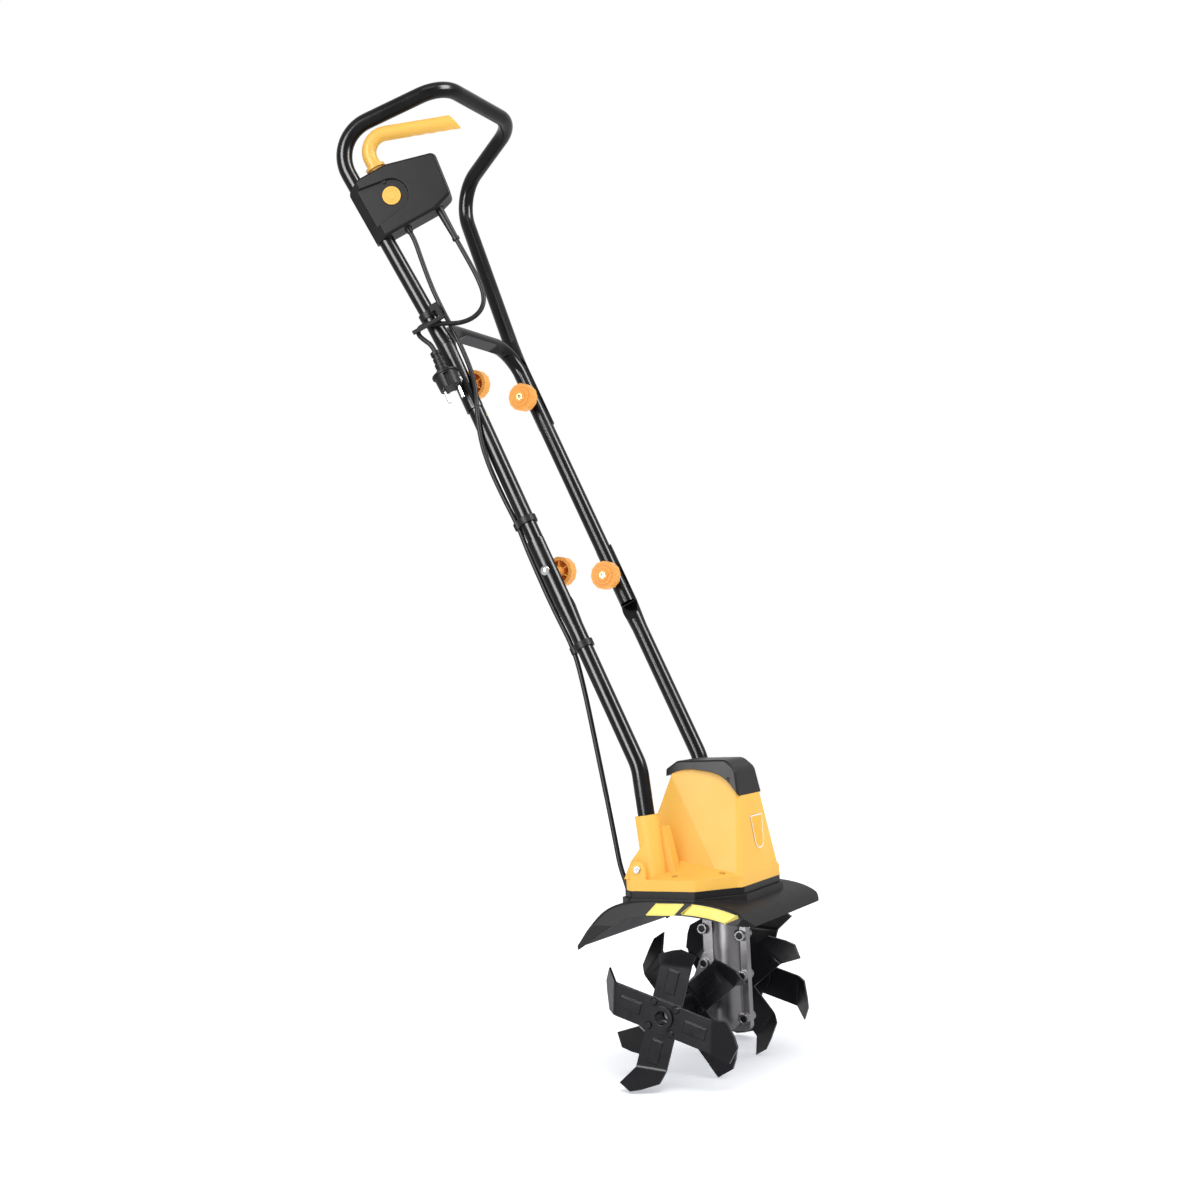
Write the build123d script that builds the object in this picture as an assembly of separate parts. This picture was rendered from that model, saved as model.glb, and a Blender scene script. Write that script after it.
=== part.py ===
from build123d import *
import os
from math import atan, cos, degrees, pi, radians, sin, sqrt, tan

# Layout: X runs along the tine axle and the machine's left is +X, Y points to the rear, Z is up.
# Everything is laid out from the axle centre and moved at the end to stand on its lowest point.

# Fits
seat_gap = 0.05          # radial play of pieces pushed into each other
running_gap = 0.3        # air between pieces that move past each other
shaft_gap = 0.03         # radial play of a shaft in its bearing
screw_gap = 0.2          # radial play of a screw in its hole
cut_over = 1.0           # how far a cut starts outside the piece

# Handle frame
tube_r = 11.0
tube_wall = 1.3
cup_wall = 2.35          # wall of the pressed half-round tube ends
cup_edge = 2.0           # how far the half-round edge stays outside the tube's axis
leg_half_span = 97.0
leg_lean = 24.3          # degrees from upright
lower_knob_y = 158.4
lower_knob_z = 563.0
knob_distance = 292.0
leg_overlap = 42.0       # middle tube beyond each knob
cup_reach = 45.0         # half-round end beyond the knob, open side
press_length = 38.0      # pressed stretch between half-round and round tube
middle_bar_rise = 85.0   # middle crossbar above the upper knob
middle_corner_r = 45.0
bar_flat = 5.0           # depth of the flat pressed into the middle crossbar
bar_flat_length = 84.0
bar_flat_run = 16.0      # length of the slope at each end of the flat
lower_bend_z = 303.9
lower_bend_r = 70.0
lower_end_z = 166.0
socket_lean = 6.3        # degrees from upright
splay_start = 335.0      # along the leg, from the lower knob
neck_half_span = 166.8
neck_y = 434.3
neck_z = 1174.0
grip_half_span = 95.3
grip_y = 293.3
grip_z = 1242.5
neck_r = 54.0
grip_r = 55.0

# Clamp bolts and knobs
bolt_r = 3.0
bolt_head_r = 6.5
bolt_head_rise = 3.2
knob_r = 20.0
knob_sides = 12
knob_rim = 14.0
knob_wall = 2.6
knob_hub_r = 7.0
knob_step_r = 13.0
knob_step = 2.0
knob_boss_r = 8.0
knob_boss = 2.0
knob_ribs = 6
knob_face = 38.0         # front of the rim, from the leg's axis
nut_r = 5.0
nut_length = 12.0

# Switch box, on the right upper leg; its own plane has w forwards along the arm, u up the leg, n outwards
box_station = 500.0      # where its plane starts along the leg
box_half = 20.0          # from the leg's axis to the front or back
box_wall = 3.0
box_corner_r = 9.0
box_edge_r = 4.0
box_shoulder_r = 7.0
box_back_w = -14.0
box_front_w = 116.0
box_front_lean = 8.0     # the front edge falls back towards the floor
box_floor_u = 12.0
box_roof_u = 100.0
box_nose_drop = 18.0     # fall of the roof towards the front
box_chin = 9.0           # rise of the floor at the front corner
strip_depth = 16.0       # slanted strip along the back edge
button_w = 36.0
button_u = 58.0
button_r = 12.5
button_rise = 2.0
button_travel = 4.0
button_length = 8.0
button_lip = 2.0
recess_r = 22.0
recess_flare = 8.0       # widening of the recess towards the back edge
recess_depth = 4.0
lever_u = 80.0           # hinge height
lever_r = 10.0
lever_pin_r = 3.0
lever_hub_r = 6.4
lever_hub_half = 8.0
lever_swing = 7.0        # degrees
lever_corner_u = 156.0
lever_corner_r = 26.0
lever_tip_w = 168.0
lever_tip_u = 108.0
lever_tip_slant = 35.0   # degrees
finger_notches = 4
finger_pitch = 17.0
finger_r = 12.0
finger_depth = 2.2
collar_r = 14.0
collar_height = 4.0
collar_lift = 5.0        # collar above the roof, so that it clears it when pulled
trip_w = 14.0            # tip of the arm that works the switch, from the hinge
trip_drop = 26.0
trip_r = 3.0
trip_top = -1.5          # face of the trip arm under the button
lever_over = 3.0         # how far the blocks that trim the lever reach past it
spring_seat = 6.0        # height of the posts under the button spring and the micro switch
post_sink = 1.0          # how far the posts run into the wall
peg_shares = (0.2, 0.8)  # places of the two pegs along the micro switch
finger_start = 0.8       # from the hinge to the first finger notch, in notch pitches
recess_taper = 20.0
lever_spring_turns = 3
button_spring_turns = 4
spring_sides = 6
micro_bevel = 1.0
micro_length = 24.0
micro_height = 16.0
micro_depth = 10.0
plunger_r = 1.5
spring_wire_r = 0.6
box_screw_r = 1.75
box_screw_head_r = 3.2
box_screw_head = 2.0
box_screw_length = 24.0
boss_r = 4.2
boot_w = 84.0
boot_r = 5.6
boot_end_r = 4.2
boot_length = 46.0
boot_collar = 4.0
boot_flange = 2.0
grommet_w = 34.0
grommet_r = 5.5
grommet_length = 9.0

# Leads
lead_r = 3.25
plug_grip_r = 7.5
plug_grip_length = 31.0
plug_rim_r = 18.5
plug_rim = 5.0
plug_body_r = 16.5
plug_body_length = 20.0
pin_r = 2.4
pin_spacing = 19.0
pin_length = 19.0
pin_neck = 0.8           # thinner root of a pin, clear of the plug's face
pin_neck_r = 2.0
pin_seat = 6.0           # how deep a pin's neck sits in the plug
plug_ribs = 3
groove_depth = 4.0       # finger groove at each side of the plug
groove_width = 7.0
plug_w = -17.5           # where the lead enters the plug, in the box's plane
plug_u = -163.0
plug_n = 34.0
plug_entry = 11.0        # straight run of the lead before the plug
plug_rib_depth = 1.5
plug_rib_edge = 0.5
plug_rim_step = 2.0
plug_edge = 1.0
bend_share = 0.45        # share of a cord's shorter run that its bend takes up

# Cord hook and cable clips
clip_wall = 2.6
clip_width = 9.0
clip_u_upper = 75.0
clip_u_lower = -110.0
cable_stand = 4.0        # cable's axis above the surface it is clipped to
hook_u = -107.0          # along the leg, from the box's plane
hook_bar_length = 48.0
hook_bar_u = -124.0
hook_bar_n = 26.0        # underside of the bar, which keeps the lead against the leg
hook_bar = 5.0
hook_arm = 6.0

# Motor base, where the cable goes in
cable_entry_x = -leg_half_span - 8.0
cable_entry_y = 63.0
cable_entry_z = 147.0

# Motor base and cover
base_bottom = 129.0
base_top = 149.0
base_wall = 3.0
base_front_half = 62.0
base_margin = 21.0       # base outside the axis of the legs
base_side_half = leg_half_span + base_margin
base_corner_cut = 14.0
base_rear_half = base_side_half - base_corner_cut
base_front_y = -80.0
base_shoulder_y = -37.0
base_corner_y = 52.0
base_rear_y = 66.0
skirt_top = 163.0
cover_wall = 3.0
foot_half = 66.0
foot_front_z = 166.0
foot_crease_y = -40.0
foot_crease_z = 178.0
foot_rear_half = 60.0
foot_rear_y = 14.0
foot_rear_z = 188.0
tower_front_top_half = 39.5
tower_front_top_y = -71.0
tower_front_top_z = 250.0
tower_front_rake = 0.089
tower_back_y = 44.0
tower_back_break_z = 236.0
tower_back_top_y = 24.0
tower_top_half = 39.0
tower_top_z = 288.0
tower_edge_r = 9.0
cap_rise = 19.0
cap_nose_y = -71.0
# Lower edge of the cap on the side, from rear to front, above or below the tower's top
cap_line = (
    (43.0, -6.0),
    (26.0, 2.0),
    (7.0, 7.5),
    (-18.0, 6.0),
    (-41.0, 0.0),
    (-55.0, -10.0),
    (-64.0, -21.0),
    (-71.0, -29.0),
)
cap_edge_r = 7.0
vent_width = 4.0
vent_y = -56.0
vent_lean = 15.0         # degrees
vent_depth = 6.0
socket_r = 15.0
socket_top_z = 242.5
strap_width = 22.0
strap_top_z = 186.0
tube_screw_r = 2.5
tube_screw_head_r = 4.5
tube_screw_head = 3.0
tube_screw_length = 18.0
tube_screw_z = 176.0
cover_screw_r = 2.0
cover_screw_head_r = 4.0
cover_screw_length = 22.0
cover_screw_front = (74.0, -56.0)
cover_screw_side = (base_side_half - 16.0, -4.0)
cover_post_r = 6.5
cover_screw_seat = 158.0

# Guard
guard_sheet = 3.0
guard_top = 139.0
guard_half = base_side_half + 4.0
guard_flange_half = guard_half + 10.0
guard_lip_y = -114.0
guard_lip_z = 108.0
# Top of the arch behind the lip, and the lower edge of the side flanges, both from front to rear
guard_arch = ((-101.0, 122.5), (-80.0, 131.5), (-45.0, 137.0), (0.0, 139.0), (40.0, 138.0), (64.0, 134.0))
guard_hem = ((-92.0, 111.5), (-58.0, 117.0), (-20.0, 121.0), (20.0, 120.0))
guard_corner_r = 26.0
guard_side_z = 115.0
guard_rear_y = 58.0
flap_knee_y = 84.0
flap_knee_z = 126.0
flap_end_y = 124.0
flap_end_z = 79.0
guard_edge_r = 5.0
tray_gap = 0.6
bead_rise = 1.0

# Gear train
worm_y = -30.0           # worm axis in front of the axle
worm_module = 1.75
worm_starts = 2
worm_r = 7.25
worm_half_length = 17.0
wheel_teeth = 26
wheel_width = 14.0
spur_module = 1.0
spur_teeth = 36
pinion_teeth = 12
pinion_over = 1.0        # how far the pinion stands out of the spur gear at each end
spur_addendum = 0.75     # height of a tooth above its pitch line, in modules
wheel_addendum = 0.9
root_depth = 1.25        # depth of a tooth below its pitch line, in modules
lightening_r = 3.0
lightening_holes = 6
shield_half = 1.2        # half the width of the groove in a bearing's face
shield_depth = 0.4
worm_room = 2.0          # air round the worm
shaft_room = 1.0         # air round a shaft where it passes a wall
foot_play = 0.5          # air under the worm's foot bearing
seal_step = 1.0          # from the bush to the seal
axle_bevel = 1.0
spur_width = 9.0
pressure_angle = 20.0
tooth_play = 0.3         # thinning of each tooth at its pitch line
spur_bottom = 134.0
worm_shaft_r = 6.0
worm_shaft_bottom = -37.0
worm_bearing_r = 13.0
worm_bearing_width = 9.0
worm_bearing_top = 112.0
worm_shoulder_r = 5.0
worm_shoulder = 4.0
worm_foot_r = 4.0
worm_foot_bearing_r = 9.0
worm_foot_bearing_width = 7.0

# Tine shaft
axle_r = 8.5
axle_half = 130.0
bush_r = 13.0
bush_length = 17.0
bush_inner_x = 12.0
seal_length = 6.0
axle_boss_r = 18.0
axle_boss_half = 40.0

# Gear case
case_wall = 4.0
column_r = 20.0
column_y = -28.0
case_rim = 6.0           # half thickness of the split rim
case_rim_corner = 8.0
case_rim_front = -56.0
case_rim_rear = 5.0
case_bottom = -44.0
wheel_room = 27.0        # radius inside the case round the wheel
wheel_room_half = 9.0
case_boss_r = 6.5
case_boss_half = 14.0
case_screw_recess = 3.5
case_front_screw_z = (79.0, 27.0, -27.0)
case_rear_screw_z = (87.0, 42.0)
case_screw_r = 2.5
case_screw_head_r = 4.2
case_screw_head = 3.0
case_flange_half = 36.0
case_flange = 8.0
guard_screw_r = 2.5
guard_screw_head_r = 4.5
guard_screw_length = 20.0
guard_boss_r = 6.0
guard_boss = 8.0

# Tines
tine_reach = 94.5
tine_width = 40.0
tine_sheet = 3.5
tine_bend_r = 67.5       # where the fold crosses the middle of the arm
tine_tip_side = 27.0     # how far the tips stand out sideways
tine_fold_r = 7.0
tine_fold_skew = 12.5    # degrees by which the fold is off square
tine_clip = 18.0         # slanted cut across the trailing corner of the tip
tine_hook = 9.0          # how far the leading corner stands beyond the strip's edge
rib_rise = 1.4
rib_width = 15.0
rib_start = 30.0
rib_end_gap = 3.0        # from the rib to the fold
rib_bevel = 0.6          # bevel of a rib's edges, as a share of its rise
outer_star_x = 148.0
inner_star_x = 80.0
outer_star_turn = -17.5
inner_star_turn = -52.0
hub_r = 14.5
hub_end_x = 155.0
hub_start_x = 64.0
hub_flange_r = 27.0
hub_flange = 4.0
rivet_circle_r = 21.5
rivet_r = 3.0
rivet_head_r = 5.0
rivet_head = 2.2
rivet_taper = 35.0
hub_pin_r = 3.0
hub_pin_x = 114.0
hub_pin_over = 2.0       # how far the pin stands out of the hub

# Motor
motor_y = worm_y + spur_module * (spur_teeth + pinion_teeth) / 2
motor_shaft_r = 5.0
stator_r = 40.0
stator_bore_r = 26.0
stator_low = 170.0
stator_high = 222.0
armature_gap = 0.6
armature_slots = 12
fan_r = 29.0
fan_low = 155.0
fan_height = 8.0
fan_blades = 9
bracket_r = 44.0
bracket_low = 146.0
bracket_plate = 4.0
bracket_leg_r = 5.0
bracket_leg_circle = 36.0
bearing_ledge = 1.0
bearing_wall = 3.0
coil_inner_r = 27.5
coil_outer_r = 33.0
coil_half_angle = 30.0
coil_overhang = 5.0
slot_width = 2.4
slot_depth = 9.0
winding_inner_r = 8.0
winding_r = 21.0
winding_height = 6.5
fan_plate = 1.5
fan_hub_r = 10.0
fan_blade = 1.5
bar_gap = 0.8
bar_depth = 1.5
brush_wall = 2.0
leg_step = 1.0           # legs of the end frame are this much thinner than the bracket's
commutator_r = 13.0
commutator_low = 236.0
commutator_length = 14.0
commutator_bars = 12
end_frame_low = 255.0
end_frame_r = 34.0
motor_bearing_r = 11.0
motor_bearing_width = 7.0
brush_size = 8.0
brush_length = 15.0

pieces = {}
cord_pieces = ("mains_lead", "mains_plug", "plug_pins")
sides = {"right": -1, "left": 1}
lean_y = sin(radians(leg_lean))
lean_z = cos(radians(leg_lean))
cup_r = tube_r + cup_wall


def leg_point(side, u, spread=0.0):
    return Vector(side * (leg_half_span + spread), lower_knob_y + u * lean_y, lower_knob_z + u * lean_z)


def leg_plane(side, u):
    return Plane(leg_point(side, u), x_dir=(1, 0, 0), z_dir=(0, lean_y, lean_z))


def sweep_round(path, radius):
    start = Plane(path @ 0, z_dir=path % 0)
    return sweep(start * Circle(radius), path=path)


def rod(start, end, radius, end_radius=None):
    start = Vector(start)
    end = Vector(end)
    axis = Plane(start, z_dir=end - start)
    length = (end - start).length
    if end_radius is None:
        return extrude(axis * Circle(radius), length)
    return loft([axis * Circle(radius), axis.offset(length) * Circle(end_radius)])


def solids_of(*shapes):
    return Compound([solid for shape in shapes for solid in shape.solids()])


def mirrored(shape):
    return mirror(shape, about=Plane.YZ)


# Middle frame: one tube bent to a U, its crossbar pressed flat on the underside
bar_u = knob_distance + middle_bar_rise
middle_path = FilletPolyline(
    leg_point(-1, -leg_overlap),
    leg_point(-1, bar_u),
    leg_point(1, bar_u),
    leg_point(1, -leg_overlap),
    radius=middle_corner_r,
)
middle_outer = sweep_round(middle_path, tube_r)
middle_envelope = sweep_round(middle_path, tube_r + seat_gap)
middle_bore = sweep_round(middle_path, tube_r - tube_wall)
bar_plane = Plane(leg_point(0, bar_u), x_dir=(1, 0, 0), z_dir=(0, lean_y, lean_z))
flat_half = bar_flat_length / 2
flat_face = make_face(Polyline(
    (-flat_half - 2 * bar_flat_run, -tube_r - bar_flat),
    (-flat_half, bar_flat - tube_r),
    (flat_half, bar_flat - tube_r),
    (flat_half + 2 * bar_flat_run, -tube_r - bar_flat),
    close=True,
))
flat_cut = bar_plane * extrude(Plane.XZ * flat_face, 2 * tube_r, both=True)
flat_room = offset(flat_face, tube_wall, kind=Kind.INTERSECTION)
flat_inside = bar_plane * extrude(Plane.XZ * flat_room, 2 * tube_r, both=True)
middle_frame = (middle_outer - flat_cut) - (middle_bore - flat_inside)
bolt_places = [(side, u) for u in (0.0, knob_distance) for side in (-1, 1)]
for side, u in bolt_places:
    inner = leg_point(side, u, -2 * tube_r)
    middle_frame -= rod(inner, leg_point(side, u, 2 * tube_r), bolt_r + screw_gap)
pieces["middle_frame"] = middle_frame


# The open side of a half-round end is cut along the tube and runs out on a slant
def open_side(side, closed_u, round_u, far_u):
    outline = [
        (side * cup_edge, far_u),
        (side * cup_edge, closed_u),
        (-side * 2 * tube_r, closed_u + (round_u - closed_u) * 1.15),
        (-side * 2 * tube_r, far_u),
    ]
    plane = Plane(leg_point(side, 0), x_dir=(1, 0, 0), z_dir=(0, -lean_z, lean_y))
    return extrude(plane * make_face(Polyline(*outline, close=True)), 2 * tube_r, both=True)


# Lower tubes: half-round end over the middle leg, slanted press, round tube bent into the socket
press_u = -leg_overlap - cup_wall
round_u = press_u - press_length
lower_bend_y = lower_knob_y - (lower_knob_z - lower_bend_z) * lean_y / lean_z
lower_drop = lower_bend_z - lower_end_z
lower_end = (lower_bend_y - lower_drop * tan(radians(socket_lean)), lower_end_z)
for name, side in sides.items():
    lower_path = FilletPolyline(
        leg_point(side, round_u),
        Vector(side * leg_half_span, lower_bend_y, lower_bend_z),
        Vector(side * leg_half_span, *lower_end),
        radius=lower_bend_r,
    )
    tube = rod(leg_point(side, cup_reach), leg_point(side, press_u), cup_r)
    tube += rod(leg_point(side, press_u), leg_point(side, round_u), cup_r, tube_r)
    tube += sweep_round(lower_path, tube_r)
    tube -= sweep_round(lower_path, tube_r - tube_wall)
    tube -= rod(leg_point(side, -leg_overlap - seat_gap), leg_point(side, 2 * cup_reach), tube_r + seat_gap)
    tube -= open_side(side, press_u, round_u, 2 * cup_reach)
    tube -= rod(leg_point(side, 0), leg_point(side, 0, 2 * tube_r), bolt_r + screw_gap)
    pieces["lower_tube_" + name] = tube

# Upper handle: half-round ends, splayed legs, necks bent forward, arms and front crossbar
upper_press_u = knob_distance + cup_reach + tube_r
upper_round_u = upper_press_u + press_length
neck_u = (neck_z - lower_knob_z) / lean_z
splay = (neck_half_span - leg_half_span) / (neck_u - splay_start)


def upper_leg(side, u):
    return leg_point(side, u, max(0.0, (u - splay_start) * splay))


upper_round = [upper_leg(side, upper_round_u) for side in (-1, 1)]
handle_path = FilletPolyline(
    upper_round[0],
    Vector(-neck_half_span, neck_y, neck_z),
    Vector(-grip_half_span, grip_y, grip_z),
    Vector(grip_half_span, grip_y, grip_z),
    Vector(neck_half_span, neck_y, neck_z),
    upper_round[1],
    radius=[neck_r, grip_r, grip_r, neck_r],
)
handle = sweep_round(handle_path, tube_r)
handle_bore = sweep_round(handle_path, tube_r - tube_wall)
for side, top in zip((-1, 1), upper_round):
    low = leg_point(side, knob_distance - cup_reach)
    joint = leg_point(side, upper_press_u)
    handle += rod(low, joint, cup_r)
    press = [
        Plane(joint, z_dir=(0, lean_y, lean_z)) * Circle(cup_r),
        Plane(top, z_dir=top - joint) * Circle(tube_r),
    ]
    handle += loft(press)
handle -= handle_bore
handle -= middle_envelope
for side in (-1, 1):
    handle -= open_side(side, upper_press_u, upper_round_u, knob_distance - 2 * cup_reach)
    bolt_inner = leg_point(side, knob_distance)
    handle -= rod(bolt_inner, leg_point(side, knob_distance, 2 * tube_r), bolt_r + screw_gap)
pieces["upper_handle"] = handle


# Clamp bolt: domed head outside the leg, shank through to the knob
def clamp_bolt(side, u):
    dome = (bolt_head_r**2 + bolt_head_rise**2) / (2 * bolt_head_rise)
    head = Pos(0, 0, bolt_head_rise - dome) * Sphere(dome)
    head &= Pos(0, 0, bolt_head_rise / 2) * Cylinder(bolt_head_r, bolt_head_rise)
    shank_length = cup_r + knob_face + knob_step
    shank = extrude(Circle(bolt_r), -shank_length)
    place = Plane(leg_point(side, u, cup_r), z_dir=(side, 0, 0))
    return place * (head + shank)


pieces["clamp_bolts"] = solids_of(*[clamp_bolt(side, u) for side, u in bolt_places])


# Clamp knob: twelve-sided hollow rim with ribs, stepped front, hub that presses on the leg
def knob_parts():
    rim_back = knob_face - knob_rim
    hub_back = tube_r + running_gap
    rim = extrude(Plane.XY.offset(rim_back) * RegularPolygon(knob_r, knob_sides), knob_rim)
    rim = fillet(rim.edges().filter_by(Axis.Z), knob_r / 10)
    rim -= extrude(Plane.XY.offset(rim_back) * Circle(knob_r - 2 * knob_wall), knob_rim - knob_wall)
    rim += extrude(Plane.XY.offset(hub_back) * Circle(knob_hub_r), knob_face - hub_back)
    rib_height = knob_rim - knob_wall - 1
    rib = Box(knob_r - knob_wall, knob_wall / 2, rib_height)
    rib = Pos(knob_r / 2, 0, knob_face - knob_wall - rib_height / 2) * rib
    for index in range(knob_ribs):
        rim += Rot(0, 0, index * 360 / knob_ribs) * rib
    rim += extrude(Plane.XY.offset(knob_face) * Circle(knob_step_r), knob_step)
    rim += extrude(Plane.XY.offset(knob_face + knob_step) * Circle(knob_boss_r), knob_boss)
    nut_front = knob_face + knob_step + knob_boss
    pocket = extrude(Plane.XY.offset(nut_front) * RegularPolygon(nut_r, 6), -nut_length)
    rim -= pocket
    rim -= extrude(Plane.XY.offset(hub_back) * Circle(bolt_r + running_gap), nut_front)
    nut = pocket - extrude(Plane.XY * Circle(bolt_r + 2 * shaft_gap), nut_front)
    return rim, nut


knob_rim_solid, knob_nut_solid = knob_parts()
for level, u in (("lower", 0.0), ("upper", knob_distance)):
    for name, side in sides.items():
        place = Plane(leg_point(side, u), x_dir=(0, 0, 1), z_dir=(-side, 0, 0))
        pieces[f"knob_{level}_{name}"] = place * knob_rim_solid
        pieces[f"knob_nut_{level}_{name}"] = place * knob_nut_solid


# Switch box halves
box_back = upper_leg(-1, box_station)
box_up = (Vector(-neck_half_span, neck_y, neck_z) - box_back).normalized()
box_arm = Vector(neck_half_span - grip_half_span, grip_y - neck_y, grip_z - neck_z).normalized()
box_out = box_arm.cross(box_up).normalized()
box_plane = Plane(box_back, x_dir=box_up.cross(box_out), z_dir=box_out)


def box_at(w, u, n):
    return box_plane.from_local_coords(Vector(w, u, n))


box_outline = FilletPolyline(
    (box_back_w, box_floor_u),
    (box_back_w, box_roof_u - box_corner_r),
    (box_back_w + 2 * tube_r, box_roof_u),
    (button_w + lever_r + box_wall, box_roof_u),
    (box_front_w, box_roof_u - box_nose_drop),
    (box_front_w - box_front_lean, box_floor_u + box_chin),
    (boot_w - boot_r, box_floor_u),
    radius=[0, box_shoulder_r, box_shoulder_r, 0, box_corner_r, box_corner_r, 0],
    close=True,
)
box_face = make_face(box_outline)
box_solid = extrude(box_face, box_half, both=True)
strip_cut = Plane.XZ * make_face(Polyline(
    (box_back_w - cut_over, 2 * box_half),
    (box_back_w - cut_over, box_half - strip_depth),
    (box_back_w + strip_depth + cut_over, box_half),
    (box_back_w + strip_depth + cut_over, 2 * box_half),
    close=True,
))
strip_cut = extrude(strip_cut, -2 * box_roof_u)
box_solid -= strip_cut
box_solid -= mirror(strip_cut, about=Plane.XY)
front_edges = box_solid.edges().filter_by(lambda e: abs(abs(e.center().Z) - box_half) < 0.01)
front_edges = front_edges.filter_by(lambda e: e.center().X > box_back_w + strip_depth + box_wall)
box_solid = fillet(front_edges, box_edge_r)
cavity_face = make_face(FilletPolyline(
    (tube_r + box_wall, box_floor_u + box_wall),
    (tube_r + box_wall, box_roof_u - box_wall),
    (button_w + lever_r, box_roof_u - box_wall),
    (box_front_w - box_wall, box_roof_u - box_nose_drop - box_wall),
    (box_front_w - box_front_lean - box_wall, box_floor_u + box_chin + box_wall),
    (boot_w, box_floor_u + box_wall),
    radius=box_wall,
    close=True,
))
cavity = extrude(cavity_face, box_half - box_wall, both=True)
boss_inset = boss_r - 1
screw_places = [
    (tube_r + box_wall + boss_inset, box_floor_u + box_wall + boss_inset),
    (tube_r + box_wall + boss_inset, box_roof_u - box_wall - 2 * boss_r),
    (box_front_w - box_wall - 3 * boss_r, box_roof_u - box_nose_drop - box_wall - 2 * boss_r),
    (box_front_w - box_front_lean - box_wall - 2 * boss_r, box_floor_u + box_chin + box_wall + 2 * boss_r),
]
bosses = solids_of(*[Pos(w, u, 0) * Cylinder(boss_r, 2 * box_half - box_wall) for w, u in screw_places])
recess_floor = box_half - recess_depth
recess_face = make_face(Polyline(
    (button_w, button_u + recess_r),
    (button_w, button_u - recess_r),
    (box_back_w - cut_over, button_u - recess_r - recess_flare),
    (box_back_w - cut_over, button_u + recess_r + recess_flare),
    close=True,
))
recess_face += Pos(button_w, button_u) * Circle(recess_r)
recess = extrude(Plane.XY.offset(recess_floor) * recess_face, 2 * recess_depth, taper=-recess_taper)
recess_back = Plane.XY.offset(recess_floor - box_wall) * offset(recess_face, box_wall)
recess_wall = extrude(recess_back, box_wall + recess_depth / 2) & box_solid
leg_bore = Pos(0, box_roof_u / 2, 0) * Rot(90, 0, 0) * Cylinder(tube_r + seat_gap, 4 * box_roof_u)
lever_slot_reach = lever_r + running_gap + (box_roof_u - lever_u + box_wall) * tan(radians(lever_swing))
lever_slot = Pos(button_w, box_roof_u, 0) * Rot(90, 0, 0) * Cylinder(lever_slot_reach, 4 * box_wall)
boot_hole = Pos(boot_w, box_floor_u, 0) * Rot(90, 0, 0) * Cylinder(boot_r + seat_gap, 4 * box_wall)
grommet_hole = Pos(grommet_w, box_floor_u, 0) * Rot(90, 0, 0) * Cylinder(grommet_r + seat_gap, 4 * box_wall)
box_solid -= leg_bore
shell = box_solid - cavity
shell += bosses & box_solid
shell += recess_wall
shell -= recess
shell -= lever_slot
shell -= boot_hole
shell -= grommet_hole
post_length = box_half - box_wall
hinge_post = Cylinder(lever_pin_r, post_length + post_sink)
for side in (-1, 1):
    shell += Pos(button_w, lever_u, side * (post_length + post_sink) / 2) * hinge_post
seat_middle = -post_length + (spring_seat - post_sink) / 2
shell += Pos(button_w, button_u, seat_middle) * Cylinder(boss_r, spring_seat + post_sink)
micro_w = button_w + trip_w + trip_r + 2 * spring_seat
micro_u = lever_u - trip_drop
micro_back = -post_length + spring_seat
micro_pegs = [(micro_w + micro_length * share, micro_u) for share in peg_shares]
for w, u in micro_pegs:
    shell += Pos(w, u, seat_middle) * Cylinder(boss_r / 2, spring_seat + post_sink)
button_way = Cylinder(button_r + running_gap, 2 * recess_depth + box_wall)
shell -= Pos(button_w, button_u, recess_floor) * button_way
boot_seat = Pos(boot_w, box_floor_u + 2 * box_wall, 0) * Rot(90, 0, 0)
shell -= boot_seat * Cylinder(boot_r + boot_flange + seat_gap, 2 * box_wall)
screw_seat = -box_half + box_screw_head + box_wall
for w, u in screw_places:
    hole = Pos(w, u, screw_seat - box_screw_head)
    shell -= hole * extrude(Circle(box_screw_r + seat_gap), box_screw_length + box_screw_head)
    shell -= Pos(w, u, -box_half) * Cylinder(box_screw_head_r + screw_gap, 2 * (box_screw_head + box_wall))
front_half = shell & Pos(0, 0, box_half) * Box(4 * box_front_w, 4 * box_front_w, 2 * box_half)
back_half = shell & Pos(0, 0, -box_half) * Box(4 * box_front_w, 4 * box_front_w, 2 * box_half)
pieces["switch_box_front"] = box_plane * front_half
pieces["switch_box_back"] = box_plane * back_half


def screw(length, radius, head_r, head):
    return extrude(Circle(head_r), head) + extrude(Circle(radius), -length)


box_screw = screw(box_screw_length - seat_gap, box_screw_r, box_screw_head_r, box_screw_head)
box_screws = [Pos(w, u, screw_seat) * Rot(180, 0, 0) * box_screw for w, u in screw_places]
pieces["switch_box_screws"] = box_plane * solids_of(*box_screws)

# Lock-off button with rings on its face and a lip that keeps it in the box
button_top = recess_floor + button_rise
button = Pos(0, 0, button_top - button_length / 2) * Cylinder(button_r, button_length)
for ring_r in (button_r * 0.75, button_r * 0.5):
    button -= Pos(0, 0, button_top) * (Cylinder(ring_r, 0.8) - Cylinder(ring_r - 0.8, 0.8))
lip_top = recess_floor - box_wall - running_gap
button += Pos(0, 0, lip_top - button_lip / 2) * Cylinder(button_r + button_lip, button_lip)
button_base = button_top - button_length
button -= Pos(0, 0, button_base) * Cylinder(button_r - box_wall, button_lip)
pieces["lock_button"] = box_plane * (Pos(button_w, button_u, 0) * button)

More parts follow.
